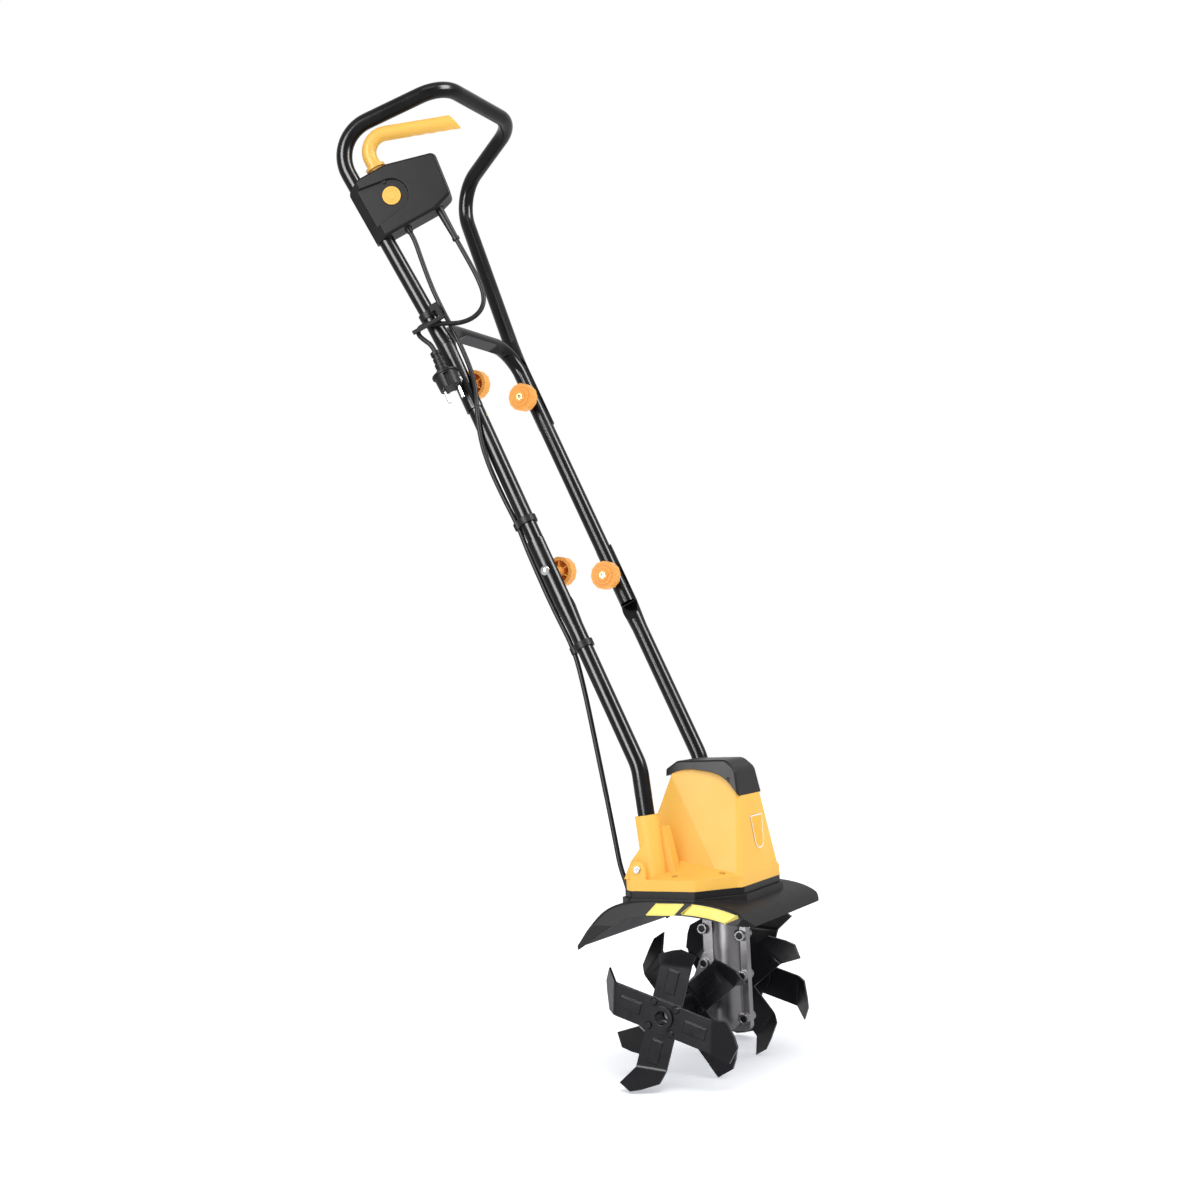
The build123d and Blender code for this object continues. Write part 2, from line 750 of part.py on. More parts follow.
# Button spring
spring_bottom = -post_length + spring_seat + spring_wire_r
spring_top = button_base + button_lip / 2 - spring_wire_r - running_gap
spring_height = spring_top - spring_bottom
button_coil = Helix(pitch=spring_height / button_spring_turns, height=spring_height, radius=boss_r)
coil_start = Plane(button_coil @ 0, z_dir=button_coil % 0)
coil = sweep(coil_start * RegularPolygon(spring_wire_r, spring_sides), path=button_coil, is_frenet=True)
pieces["button_spring"] = box_plane * (Pos(button_w, button_u, spring_bottom) * coil)

# Switch lever: hub on its pin, stem through the roof, bent arm with finger notches, collar above the roof;
# a trip arm pushed against the hub works the switch
arm_dir = Vector(lever_tip_w - button_w, lever_tip_u - lever_corner_u).normalized()
lever_path = FilletPolyline(
    (button_w, lever_u),
    (button_w, lever_corner_u),
    (lever_tip_w, lever_tip_u),
    radius=lever_corner_r,
)
lever = sweep_round(lever_path, lever_r)
lever_arm = Plane((lever_tip_w, lever_tip_u, 0), x_dir=arm_dir, z_dir=(0, 0, 1))
tip_cut = Pos(0, -lever_r, 0) * Rot(0, 0, lever_tip_slant) * Pos(2 * lever_r, 0, 0)
lever -= lever_arm * (tip_cut * Box(4 * lever_r, 8 * lever_r, 4 * lever_r))
for index in range(finger_notches):
    notch_w = -finger_pitch * (index + finger_start)
    notch_u = -lever_r - finger_r + finger_depth
    lever -= lever_arm * (Pos(notch_w, notch_u, 0) * Cylinder(finger_r, 4 * lever_r))
collar_base = box_roof_u + collar_lift
collar = Rot(90, 0, 0) * Cylinder(collar_r, collar_height)
collar = Pos(button_w, collar_base + collar_height / 2, 0) * collar
lever += collar
hub = Pos(button_w, lever_u, 0) * Cylinder(lever_hub_r, 2 * lever_hub_half)
lever += hub
trip_face = Pos(button_w + trip_w, lever_u - trip_drop) * Circle(trip_r)
trip_face += make_face(Polyline(
    (button_w - trip_r, lever_u),
    (button_w + trip_r, lever_u),
    (button_w + trip_w + trip_r, lever_u - trip_drop),
    (button_w + trip_w - trip_r, lever_u - trip_drop),
    close=True,
))
trip_arm = extrude(Plane.XY.offset(-lever_hub_half) * trip_face, lever_hub_half + trip_top)
trip_arm -= Pos(button_w, lever_u, 0) * Cylinder(lever_hub_r + seat_gap, 4 * lever_hub_half)
trip_arm -= Pos(button_w, lever_u + lever_r / 2, 0) * Box(4 * lever_r, lever_r, 4 * lever_hub_half)
lever -= Pos(button_w, lever_u, 0) * Cylinder(lever_pin_r + shaft_gap, 4 * lever_hub_half)
lever_trim = Box(8 * box_front_w, 2 * (lever_u + lever_r + lever_over), box_half)
for side in (1, -1):
    lever -= Pos(0, 0, side * (lever_hub_half + box_half / 2)) * lever_trim
pieces["switch_lever"] = box_plane * solids_of(lever, trip_arm)

# Lever spring, wound round the hinge pin beside the hub
lever_coil_height = recess_floor - box_wall - lever_hub_half - 2 * running_gap - 2 * spring_wire_r
lever_coil_r = lever_pin_r + spring_wire_r + running_gap
lever_coil_pitch = lever_coil_height / lever_spring_turns
lever_coil = Helix(pitch=lever_coil_pitch, height=lever_coil_height, radius=lever_coil_r)
coil_start = Plane(lever_coil @ 0, z_dir=lever_coil % 0)
coil = sweep(coil_start * RegularPolygon(spring_wire_r, spring_sides), path=lever_coil, is_frenet=True)
coil_base = lever_hub_half + running_gap + spring_wire_r
pieces["lever_spring"] = box_plane * (Pos(button_w, lever_u, coil_base) * coil)

# Micro switch on two pegs, its plunger towards the lever's trip arm
micro = Pos(micro_w + micro_length / 2, micro_u, micro_back + micro_depth / 2)
micro_switch = micro * Box(micro_length, micro_height, micro_depth)
micro_switch = chamfer(micro_switch.edges().filter_by(Axis.Z), micro_bevel)
trip_end = button_w + trip_w + trip_r + trip_drop * sin(radians(lever_swing)) + running_gap
plunger_length = micro_w - trip_end
plunger = Pos(micro_w - plunger_length / 2, micro_u, micro_back + micro_depth / 2)
micro_switch += plunger * Rot(0, 90, 0) * Cylinder(plunger_r, plunger_length)
pieces["micro_switch"] = box_plane * micro_switch

# Mains boot: tapered sleeve with an end collar and a flange inside the floor
down = Plane((boot_w, box_floor_u + box_wall, 0), x_dir=(1, 0, 0), z_dir=(0, -1, 0))
boot_reach = box_wall + boot_length
boot_profile = make_face(Polyline(
    (0, -box_wall),
    (boot_r + boot_flange, -box_wall),
    (boot_r + boot_flange, -seat_gap),
    (boot_r, -seat_gap),
    (boot_r, box_wall),
    (boot_end_r, boot_reach - boot_collar),
    (boot_r - 0.4, boot_reach - boot_collar),
    (boot_r - 0.4, boot_reach),
    (0, boot_reach),
    close=True,
))
boot = revolve(Plane.XZ * boot_profile, Axis.Z)
pieces["mains_boot"] = box_plane * (down * boot)
grommet = Plane((grommet_w, box_floor_u + box_wall, 0), x_dir=(1, 0, 0), z_dir=(0, -1, 0))
grommet_profile = make_face(Polyline(
    (lead_r + seat_gap, -box_wall / 2),
    (grommet_r + 1.5, -box_wall / 2),
    (grommet_r + 1.5, -seat_gap),
    (grommet_r, -seat_gap),
    (grommet_r - 1, grommet_length),
    (lead_r + seat_gap, grommet_length),
    close=True,
))
pieces["cable_grommet"] = box_plane * (grommet * revolve(Plane.XZ * grommet_profile, Axis.Z))


# Route of a lead: straight runs joined by arcs as large as the runs allow
def cord_path(name, points):
    radii = []
    for before, here, after in zip(points, points[1:], points[2:]):
        shorter = min((here - before).length, (after - here).length)
        turn = radians((here - before).get_angle(after - here))
        radii.append(bend_share * shorter / tan(turn / 2))
    path = FilletPolyline(*points, radius=radii)
    print(name, "length", round(path.length, 1), "radii", [round(radius, 1) for radius in radii])
    return path


# Mains lead, from the boot past the hook to the plug, in the box's own plane
lead_start = box_floor_u - boot_length
lead_points = [
    box_at(boot_w, lead_start, 0),
    box_at(84, -62, 0),
    box_at(83.5, -92, 2),
    box_at(80, -118, 5),
    box_at(70, -135, 9),
    box_at(52, -143, 14),
    box_at(31, -141, 18),
    box_at(12, -131, 20),
    box_at(-6, -122, 20),
    box_at(-19, -119, 20),
    box_at(-26, -126.5, 21),
    box_at(-22.5, -139, 27),
    box_at(plug_w, plug_u, plug_n) + Vector(0, lean_y, lean_z) * plug_entry,
    box_at(plug_w, plug_u, plug_n),
]
lead_path = cord_path("mains_lead", lead_points)
pieces["mains_lead"] = sweep_round(lead_path, lead_r)

# Plug: ribbed grip, round rim, body with a groove on each side, two pins
plug_profile = [
    (0, 0),
    (plug_grip_r, 0),
    (plug_grip_r, plug_rim),
    (plug_grip_r - plug_rib_depth, plug_rim),
]
rib_pitch = (plug_grip_length - plug_rim) / plug_ribs
for index in range(plug_ribs):
    rib_base = plug_rim + index * rib_pitch
    plug_profile.append((plug_grip_r - plug_rib_depth + index, rib_base + rib_pitch / 2))
    plug_profile.append((plug_grip_r + index, rib_base + rib_pitch / 2))
    plug_profile.append((plug_grip_r + index, rib_base + rib_pitch))
    plug_profile.append((plug_grip_r - plug_rib_edge + index, rib_base + rib_pitch))
rim_base = plug_grip_length
plug_profile.append((plug_body_r - plug_rim_step, rim_base))
plug_profile.append((plug_rim_r, rim_base + plug_rim / 2))
plug_profile.append((plug_rim_r, rim_base + plug_rim))
plug_profile.append((plug_body_r, rim_base + plug_rim))
plug_end = rim_base + plug_rim + plug_body_length
plug_profile.append((plug_body_r - plug_edge, plug_end))
plug_profile.append((0, plug_end))
plug = revolve(Plane.XZ * make_face(Polyline(*plug_profile, close=True)), Axis.Z)
for sign in (-1, 1):
    groove = Pos(0, sign * plug_body_r, plug_end)
    plug -= groove * Box(groove_width, 2 * groove_depth, 2 * plug_body_length - groove_depth)
    plug -= Pos(sign * pin_spacing / 2, 0, plug_end) * Cylinder(pin_neck_r + seat_gap, 2 * pin_seat)
plug_plane = Plane(box_at(plug_w, plug_u, plug_n), x_dir=(1, -2, 0), z_dir=(0, -lean_y, -lean_z))
pieces["mains_plug"] = plug_plane * plug
pin = Pos(0, 0, pin_neck) * extrude(Circle(pin_r), pin_length - pin_neck)
pin = fillet(pin.edges().group_by(Axis.Z)[-1], pin_r / 2)
pin += Pos(0, 0, -pin_seat) * extrude(Circle(pin_neck_r), pin_seat + pin_neck)
pins = [Pos(sign * pin_spacing / 2, 0, plug_end) * pin for sign in (-1, 1)]
pieces["plug_pins"] = plug_plane * solids_of(*pins)


# A place beside the right leg: along it, round it from the front over the outside, and out from its axis
def beside_leg(u, angle, out):
    front = Vector(0, -lean_z, lean_y) * cos(radians(angle))
    outside = Vector(-1, 0, 0) * sin(radians(angle))
    return leg_point(-1, u) + (front + outside) * out


# Motor cable: from the box along the leg, over to its rear, through both clips and down to the motor base
on_tube = tube_r + cable_stand
on_cup = cup_r + cable_stand
cable_points = [
    box_at(grommet_w, box_floor_u + box_wall, 0),
    box_at(grommet_w, box_floor_u - 2 * grommet_length, 0),
    box_at(27, -44, 0),
    box_at(22, -78, 0),
    box_at(20, hook_u, 0),
    beside_leg(345, -6, on_cup + 1),
    beside_leg(300, 4, on_cup + 1),
    beside_leg(268, 30, on_cup + 1),
    beside_leg(240, 62, on_cup + 1),
    beside_leg(214, 94, on_tube + 1),
    beside_leg(188, 122, on_tube + 1),
    beside_leg(158, 148, on_tube + 1),
    beside_leg(120, 168, on_tube + 1),
    beside_leg(clip_u_upper, 180, on_tube),
    beside_leg(40, 181, on_cup),
    beside_leg(-40, 180, on_cup + 1),
    beside_leg(clip_u_lower, 180, on_tube),
    Vector(-99.0, 113.0, 400.0),
    Vector(-103.0, 84.0, 250.0),
    Vector(-105.0, 71.0, 178.0),
    Vector(cable_entry_x, cable_entry_y, cable_entry_z + 8),
    Vector(cable_entry_x, cable_entry_y - 4, cable_entry_z - 8),
]
cable_path = cord_path("motor_cable", cable_points)
pieces["motor_cable"] = sweep_round(cable_path, lead_r)


# Cable clip: a ring round the leg with an eye for the cable on its rear
def cable_clip(u):
    ring = Cylinder(tube_r + clip_wall, clip_width)
    eye = Pos(0, on_tube, 0) * Cylinder(lead_r + clip_wall, clip_width)
    tab = Pos(tube_r + clip_wall, 0, 0) * Box(2 * clip_wall, 2 * clip_wall, clip_width)
    clip = ring + eye + tab
    clip -= Cylinder(tube_r + seat_gap, 2 * clip_width)
    clip = leg_plane(-1, u) * clip
    return clip - sweep_round(cable_path, lead_r + seat_gap)


pieces["cable_clips"] = solids_of(cable_clip(clip_u_upper), cable_clip(clip_u_lower))

# Cord hook: ring on the leg, arm and bar that hold the lead, eye for the motor cable
hook_axis = Pos(0, hook_u, 0) * Rot(90, 0, 0)
hook = hook_axis * Cylinder(tube_r + clip_wall, clip_width)
hook_eye = tube_r + clip_wall + lead_r
hook += Pos(hook_eye, hook_u, 0) * Box(2 * lead_r + clip_wall, clip_width, 2 * (lead_r + clip_wall))
hook_front = hook_bar_n + hook_bar
arm_low = hook_bar_u - hook_bar / 2
arm_high = hook_u + clip_width / 2
hook_root = Pos(tube_r, hook_u, (lead_r + hook_front) / 2 + clip_wall)
hook += hook_root * Box(2 * hook_arm, clip_width, hook_front - lead_r - 2 * clip_wall)
hook_top = Pos(tube_r + hook_arm / 2, (arm_low + arm_high) / 2, hook_bar_n + hook_bar / 2)
hook += hook_top * Box(hook_arm, arm_high - arm_low, hook_bar)
bar_end = tube_r + hook_arm
hook_cross = Box(hook_bar_length, hook_bar, hook_bar)
hook += Pos(bar_end - hook_bar_length / 2, hook_bar_u, hook_bar_n + hook_bar / 2) * hook_cross
hook -= hook_axis * Cylinder(tube_r + seat_gap, 2 * clip_width)
hook = box_plane * hook
pieces["cord_hook"] = hook - sweep_round(cable_path, lead_r + seat_gap)


# Plan outline of the motor base; the cover's skirt and the guard's tray repeat it
def base_plan(grow=0.0):
    half = [
        (base_front_half, base_front_y),
        (base_side_half, base_shoulder_y),
        (base_side_half, base_corner_y),
        (base_rear_half, base_rear_y),
    ]
    outline = half + [(-x, y) for x, y in reversed(half)]
    plan = make_face(Polyline(*outline, close=True))
    plan = fillet(plan.vertices().filter_by(lambda v: abs(v.X) > base_rear_half), 2 * base_wall)
    return offset(plan, grow, kind=Kind.INTERSECTION) if grow else plan


def prism(plan, low, high):
    return extrude(Plane.XY.offset(low) * plan, high - low)


# Keeps the part of a solid that lies on the inner side of the plane through three points
def trim(solid, first, second, third, inner):
    first = Vector(first)
    normal = (Vector(second) - first).cross(Vector(third) - first).normalized()
    if normal.dot(Vector(inner) - first) > 0:
        normal = -normal
    reach = 2 * tower_top_z
    return solid - extrude(Plane(first, z_dir=normal) * Rectangle(2 * reach, 2 * reach), reach)


# Motor tower: flat faces with a crease running down each side, narrower by the inset for its inside
def tower(inset, low, high):
    half = foot_half + 2 * cover_wall
    solid = Pos(0, -cover_wall, (low + high) / 2) * Box(2 * half, 4 * half, high - low)
    heart = (0, 0, tower_front_top_z - skirt_top)
    rake = tower_front_rake
    front = tower_front_top_y + inset
    solid = trim(solid, (0, front, tower_front_top_z), (1, front, tower_front_top_z),
                 (0, front - rake, tower_front_top_z - 1), heart)
    back = tower_back_y - inset
    solid = trim(solid, (0, back, 0), (1, back, 0), (0, back, 1), heart)
    slope_top = tower_back_top_y - inset
    solid = trim(solid, (0, back, tower_back_break_z), (1, back, tower_back_break_z),
                 (0, slope_top, tower_top_z), heart)
    for side in (-1, 1):
        crease_low = (side * (foot_half - inset), foot_crease_y, foot_crease_z)
        crease_high = (side * (tower_top_half - inset), tower_back_top_y, tower_top_z)
        front_top = (side * (tower_front_top_half - inset), tower_front_top_y, tower_front_top_z)
        rear_low = (side * (foot_rear_half - inset), foot_rear_y, foot_rear_z)
        solid = trim(solid, front_top, crease_low, crease_high, heart)
        solid = trim(solid, rear_low, crease_low, crease_high, heart)
    return solid


# The line where the cap meets the tower, and the cap's own outline above it
def cap_region(grow=0.0):
    edge = [(y, tower_top_z + rise + grow) for y, rise in cap_line]
    front = 2 * cap_nose_y
    ceiling = tower_top_z + 2 * cap_rise
    line = Spline(*edge)
    rest = Polyline(edge[-1], (front, edge[-1][1]), (front, ceiling), (edge[0][0], ceiling), edge[0])
    return Plane.YZ * make_face([*line.edges(), *rest.edges()])


cap_zone = extrude(cap_region(), foot_half, both=True)
cap_outline = make_face(Polyline(
    (tower_back_top_y + cap_edge_r, tower_top_z - 2 * cap_rise),
    (tower_back_top_y + cap_edge_r, tower_top_z + cap_rise / 2),
    (tower_back_top_y - cap_edge_r, tower_top_z + cap_rise),
    (foot_crease_y - cap_rise / 2, tower_top_z + cap_rise),
    (cap_nose_y + cap_edge_r, tower_top_z + cap_rise / 3),
    (cap_nose_y, tower_top_z - 2 * cap_rise),
    close=True,
))
nose_corners = cap_outline.vertices().filter_by(lambda v: v.Y > tower_top_z).sort_by(Axis.X)
cap_outline = fillet(nose_corners[:2], 2 * cap_edge_r)
cap_outline = fillet(cap_outline.vertices().sort_by(Axis.X)[-3:-1], cap_edge_r)
cap_block = extrude(Plane.YZ * cap_outline, tower_top_half + 2 * cap_edge_r, both=True)
for side in (-1, 1):
    crease_high = (side * tower_top_half, tower_back_top_y, tower_top_z)
    front_top = (side * tower_front_top_half, cap_nose_y, tower_front_top_z + cap_rise / 2)
    lean_in = (side * (tower_top_half - cap_rise / 6), tower_back_top_y, tower_top_z + cap_rise)
    cap_block = trim(cap_block, crease_high, front_top, lean_in, (0, 0, tower_top_z))
cap_block = fillet(cap_block.edges().filter_by(lambda e: e.center().Z > tower_top_z + cap_rise - 0.5)
                   .filter_by(lambda e: abs(e.center().X) > tower_top_half / 2), cap_edge_r / 2)
cap_solid = cap_block & cap_zone
cap_inside = extrude(cap_region(cover_wall), tower_top_half - 2 * cover_wall, both=True)
cap_inside &= Pos(0, 0, -cover_wall) * cap_block
cap_solid -= cap_inside
for side in (-1, 1):
    slot = Pos(side * tower_top_half, vent_y, tower_top_z) * Rot(vent_lean, 0, 0)
    cap_solid -= slot * Box(vent_depth, vent_width, 3 * vent_depth)
pieces["top_cap"] = cap_solid


# Socket for a lower tube, leaning with it
def socket_axis(side, z):
    drop = lower_bend_z - z
    return Vector(side * leg_half_span, lower_bend_y - drop * tan(radians(socket_lean)), z)


cover = prism(base_plan(), base_top, skirt_top)
deck_top = [
    (foot_half - cover_wall, base_front_y + cover_wall),
    (foot_half, foot_crease_y),
    (foot_rear_half, foot_rear_y),
    (foot_rear_half - base_wall, tower_back_y),
]
deck_low = [
    (base_front_half, base_front_y),
    (base_side_half - cover_wall, base_shoulder_y),
    (base_side_half - cover_wall, base_corner_y - cover_wall),
    (base_rear_half - cover_wall, base_rear_y - cover_wall),
]


def deck_ring(half, front_z, rear_z):
    outline = half + [(-x, y) for x, y in reversed(half)]
    front_y = half[0][1]
    rise = (rear_z - front_z) / (half[-1][1] - front_y)
    return make_face(Polyline(*[(x, y, front_z + (y - front_y) * rise) for x, y in outline], close=True))


deck = loft([
    deck_ring(deck_low, skirt_top, skirt_top),
    deck_ring(deck_top, foot_front_z, foot_rear_z),
], ruled=True)
tower_solid = tower(0, base_top, tower_top_z + cap_rise) - cap_zone
tower_fronts = tower_solid.edges().filter_by(lambda e: e.center().Y < tower_front_top_y + 1)
tower_fronts = tower_fronts.filter_by(lambda e: abs(e.tangent_at(0.5).Z) > 0.8)
tower_solid = fillet(tower_fronts, tower_edge_r)
cover = cover + deck + tower_solid
for side in (-1, 1):
    cover += rod(socket_axis(side, base_top), socket_axis(side, socket_top_z), socket_r)
    gusset = make_face(Polyline(
        (tower_back_y, socket_top_z - socket_r),
        (foot_rear_y, socket_top_z - socket_r),
        (foot_rear_y - socket_r, skirt_top),
        (base_corner_y, skirt_top),
        close=True,
    ))
    gusset = extrude(Plane.YZ * gusset, socket_r - 2 * cover_wall, both=True)
    cover += Pos(side * (leg_half_span - socket_r), 0, 0) * gusset
    strap = make_face(Polyline(
        (base_corner_y - strap_width, base_top),
        (base_corner_y - strap_width, strap_top_z - strap_width / 2),
        (base_corner_y, strap_top_z - strap_width / 2),
        (base_corner_y, base_top),
        close=True,
    ))
    strap_pivot = Pos(base_corner_y - strap_width / 2, strap_top_z - strap_width / 2)
    strap += strap_pivot * Circle(strap_width / 2)
    strap = extrude(Plane.YZ * strap, side * (base_side_half - leg_half_span))
    cover += Pos(side * leg_half_span, 0, 0) * strap
    rear_web = make_face(Polyline(
        (base_corner_y - strap_width, socket_top_z - 2 * socket_r),
        (base_corner_y, strap_top_z),
        (base_rear_y - cover_wall, skirt_top),
        (base_corner_y - strap_width, skirt_top),
        close=True,
    ))
    cover += Pos(side * leg_half_span, 0, 0) * extrude(Plane.YZ * rear_web, socket_r, both=True)
inside = tower(cover_wall, base_top - cut_over, tower_top_z + cap_rise)


def inset(half):
    return [(x - cover_wall, y + (cover_wall if y < 0 else -cover_wall)) for x, y in half]


deck_inside = loft([
    deck_ring(inset(deck_low), base_top - cut_over, base_top - cut_over),
    deck_ring(inset(deck_top), foot_front_z - cover_wall, foot_rear_z - cover_wall),
], ruled=True)
socket_walls = solids_of(*[
    rod(socket_axis(side, base_top), socket_axis(side, socket_top_z), socket_r) for side in (-1, 1)
])
cover -= inside
cover_screw_places = [
    (side * x, y) for x, y in (cover_screw_front, cover_screw_side) for side in (-1, 1)
]
cover_posts = solids_of(*[
    Pos(x, y) * prism(Circle(cover_post_r), base_top, foot_rear_z) for x, y in cover_screw_places
])
cover -= deck_inside - socket_walls - cover_posts
for x, y in cover_screw_places:
    cover -= Pos(x, y) * prism(Circle(cover_screw_head_r + screw_gap), cover_screw_seat, foot_rear_z)
    cover -= Pos(x, y) * prism(Circle(cover_screw_r + screw_gap), base_top - cut_over, foot_rear_z)
tube_screw_y = base_corner_y - strap_width / 2
for side in (-1, 1):
    tube_end = socket_axis(side, lower_end_z - seat_gap)
    cover -= rod(tube_end, socket_axis(side, lower_bend_z), tube_r + seat_gap)
    screw_line = Vector(side * base_side_half, tube_screw_y, tube_screw_z)
    cover -= rod(screw_line, screw_line - Vector(side * 2 * socket_r, 0, 0), tube_screw_r + seat_gap)
cover -= cap_zone
cover -= sweep_round(cable_path, lead_r + running_gap)
pieces["motor_cover"] = cover

# Base tray
base_floor = base_bottom + base_wall
base = prism(base_plan(), base_bottom, base_top)
base -= prism(base_plan(-base_wall), base_floor, base_top + cut_over)
base -= sweep_round(cable_path, lead_r + running_gap)
for x, y in cover_screw_places:
    base += Pos(x, y) * prism(Circle(cover_post_r), base_floor, base_top)
    base -= Pos(x, y) * prism(Circle(cover_screw_r + seat_gap), base_floor, base_top + cut_over)
pieces["base_tray"] = base
cover_screw = screw(cover_screw_length, cover_screw_r, cover_screw_head_r, tube_screw_head)
pieces["cover_screws"] = solids_of(*[
    Pos(x, y, cover_screw_seat) * cover_screw for x, y in cover_screw_places
])
tube_screw = screw(tube_screw_length, tube_screw_r, tube_screw_head_r, tube_screw_head)
pieces["tube_screws"] = solids_of(*[
    Plane((side * base_side_half, tube_screw_y, tube_screw_z), z_dir=(side, 0, 0)) * tube_screw
    for side in (-1, 1)
])

# Guard: one moulded sheet arched from front to rear, with side flanges, round front corners and a rear flap
guard_lip = (guard_lip_y, guard_lip_z)
flap_end = (flap_end_y, flap_end_z)
flap_back = (flap_end_y - guard_sheet, flap_end_z - guard_sheet)
flap_middle = ((flap_knee_y + flap_end_y) / 2, (flap_knee_z + flap_end_z) / 2 + guard_sheet)
arch = Spline(guard_lip, *guard_arch, (flap_knee_y, flap_knee_z), flap_middle, flap_end)
hem = Spline(guard_lip, *guard_hem, (guard_rear_y, guard_side_z))
flap_hem = Polyline((guard_rear_y, guard_side_z), flap_back, flap_end)
guard_side_view = make_face([*arch.edges(), *hem.edges(), *flap_hem.edges()])
below = Polyline(flap_end, (flap_end_y, 0), (guard_lip_y, 0), guard_lip)
under_arch = make_face([*arch.edges(), *below.edges()])


# Solid under the arch between the sloping side flanges
def guard_block(side_view, inset):
    block = extrude(Plane.YZ * side_view, 2 * guard_half, both=True)
    for side in (-1, 1):
        top = side * (guard_half - inset)
        foot = side * (guard_flange_half - inset)
        crest = (top, 0, guard_top)
        crest_rear = (top, 1, guard_top)
        hem_spot = (foot, 0, guard_side_z)
        block = trim(block, crest, crest_rear, hem_spot, (0, 0, guard_side_z))
    rims = block.edges().filter_by(lambda e: e.length > flap_end_y and e.center().Z > guard_side_z)
    rims = rims.filter_by(lambda e: abs(e.center().X) > base_side_half - inset)
    return fillet(rims, guard_edge_r - inset)


def guard_plan(inset):
    half = guard_flange_half + guard_sheet - inset
    front = guard_lip_y + inset
    corners = [(-half, front), (half, front), (half, guard_half), (-half, guard_half)]
    plan = make_face(Polyline(*corners, close=True))
    plan = fillet(plan.vertices().group_by(Axis.Y)[0], guard_corner_r - inset)
    return prism(plan, 0, 2 * guard_top)


guard = guard_block(under_arch, 0) & guard_plan(0)
guard &= extrude(Plane.YZ * guard_side_view, 2 * guard_half, both=True)
guard -= guard_block(Pos(0, -guard_sheet) * under_arch, guard_sheet) & guard_plan(guard_sheet)
tray_floor = base_bottom - guard_sheet
guard += prism(base_plan(tray_gap + guard_sheet), tray_floor, guard_top + bead_rise)
guard -= prism(base_plan(tray_gap), base_bottom, 2 * guard_top)
pieces["guard"] = guard


# Tooth outline of a gear from its module; flanks are involutes taken at root, pitch line and tip
def gear_face(module, teeth, addendum=1.0):
    pitch_r = module * teeth / 2
    base_r = pitch_r * cos(radians(pressure_angle))
    half_pitch_angle = (pi * module / 2 - tooth_play) / (2 * pitch_r)

    def roll(radius):
        if radius <= base_r:
            return 0.0
        slope = sqrt((radius / base_r) ** 2 - 1)
        return slope - atan(slope)

    radii = [pitch_r - root_depth * module, base_r, pitch_r, pitch_r + addendum * module]
    radii = sorted(radii)
    half_angles = [half_pitch_angle + roll(pitch_r) - roll(radius) for radius in radii]
    points = []
    for tooth in range(teeth):
        centre = 2 * pi * tooth / teeth
        rising = [(radius, centre - half) for radius, half in zip(radii, half_angles)]
        falling = [(radius, centre + half) for radius, half in zip(reversed(radii), reversed(half_angles))]
        points += [(radius * cos(angle), radius * sin(angle)) for radius, angle in rising + falling]
    return make_face(Polyline(*points, close=True))


# Cross-section of the worm: one lobe for each thread, with flanks straight along the axis
def worm_face():
    axial_pitch = pi * worm_module
    lead = axial_pitch * worm_starts
    flank = tan(radians(pressure_angle))
    tip_r = worm_r + worm_module
    root_r = worm_r - root_depth * worm_module
    thread = axial_pitch / 4 - tooth_play / 2

    def turn(radius):
        return 2 * pi * (thread + (worm_r - radius) * flank) / lead

    def spot(radius, angle):
        return (radius * cos(angle), radius * sin(angle))

    edges = []
    for start in range(worm_starts):
        centre = 2 * pi * start / worm_starts + pi / 2
        next_centre = centre + 2 * pi / worm_starts
        tip = turn(tip_r)
        root = turn(root_r)
        middle_r = (tip_r + root_r) / 2
        middle = turn(middle_r)
        edges.append(ThreePointArc(
            spot(tip_r, centre - tip), spot(tip_r, centre), spot(tip_r, centre + tip)))
        edges.append(ThreePointArc(
            spot(tip_r, centre + tip), spot(middle_r, centre + middle), spot(root_r, centre + root)))
        edges.append(ThreePointArc(
            spot(root_r, centre + root),
            spot(root_r, (centre + next_centre) / 2),
            spot(root_r, next_centre - root)))
        edges.append(ThreePointArc(
            spot(root_r, next_centre - root),
            spot(middle_r, next_centre - middle),
            spot(tip_r, next_centre - tip)))
    return make_face(Wire(edges))


worm_lead = pi * worm_module * worm_starts
wheel_r = worm_module * wheel_teeth / 2
lead_slope = worm_lead / (2 * pi * worm_r)
worm_length = 2 * worm_half_length
worm_twist = 360 * worm_length / worm_lead


def twisted(face, length, angle):
    low = Plane.XY.offset(-length / 2) * Rot(0, 0, -angle / 2) * face
    return Solid.extrude_linear_with_rotation(low.face(), (0, 0, -length / 2), (0, 0, length), angle)


# Worm shaft with its spur gear seat
thread = Part() + twisted(worm_face(), worm_length, worm_twist)
spur_top = spur_bottom + spur_width
shaft = thread + prism(Circle(worm_shaft_r), worm_half_length, spur_top)
shoulder_low = -worm_half_length - worm_shoulder
shaft += prism(Circle(worm_shoulder_r), shoulder_low, -worm_half_length)
shaft += prism(Circle(worm_foot_r), worm_shaft_bottom, shoulder_low)
worm_place = Pos(0, worm_y, 0)
pieces["worm_shaft"] = worm_place * shaft
spur = extrude(gear_face(spur_module, spur_teeth, spur_addendum), spur_width)
spur -= Cylinder(worm_shaft_r + seat_gap, 4 * spur_width)
lightening_circle = (worm_shaft_r + spur_module * spur_teeth / 2) / 2
for index in range(lightening_holes):
    hole = Rot(0, 0, 360 / lightening_holes * index) * Pos(lightening_circle, 0, 0)
    spur -= hole * Cylinder(lightening_r, 4 * spur_width)
spur_turn = 90 + 180 / spur_teeth
pieces["spur_gear"] = Pos(0, worm_y, spur_bottom) * Rot(0, 0, spur_turn) * spur


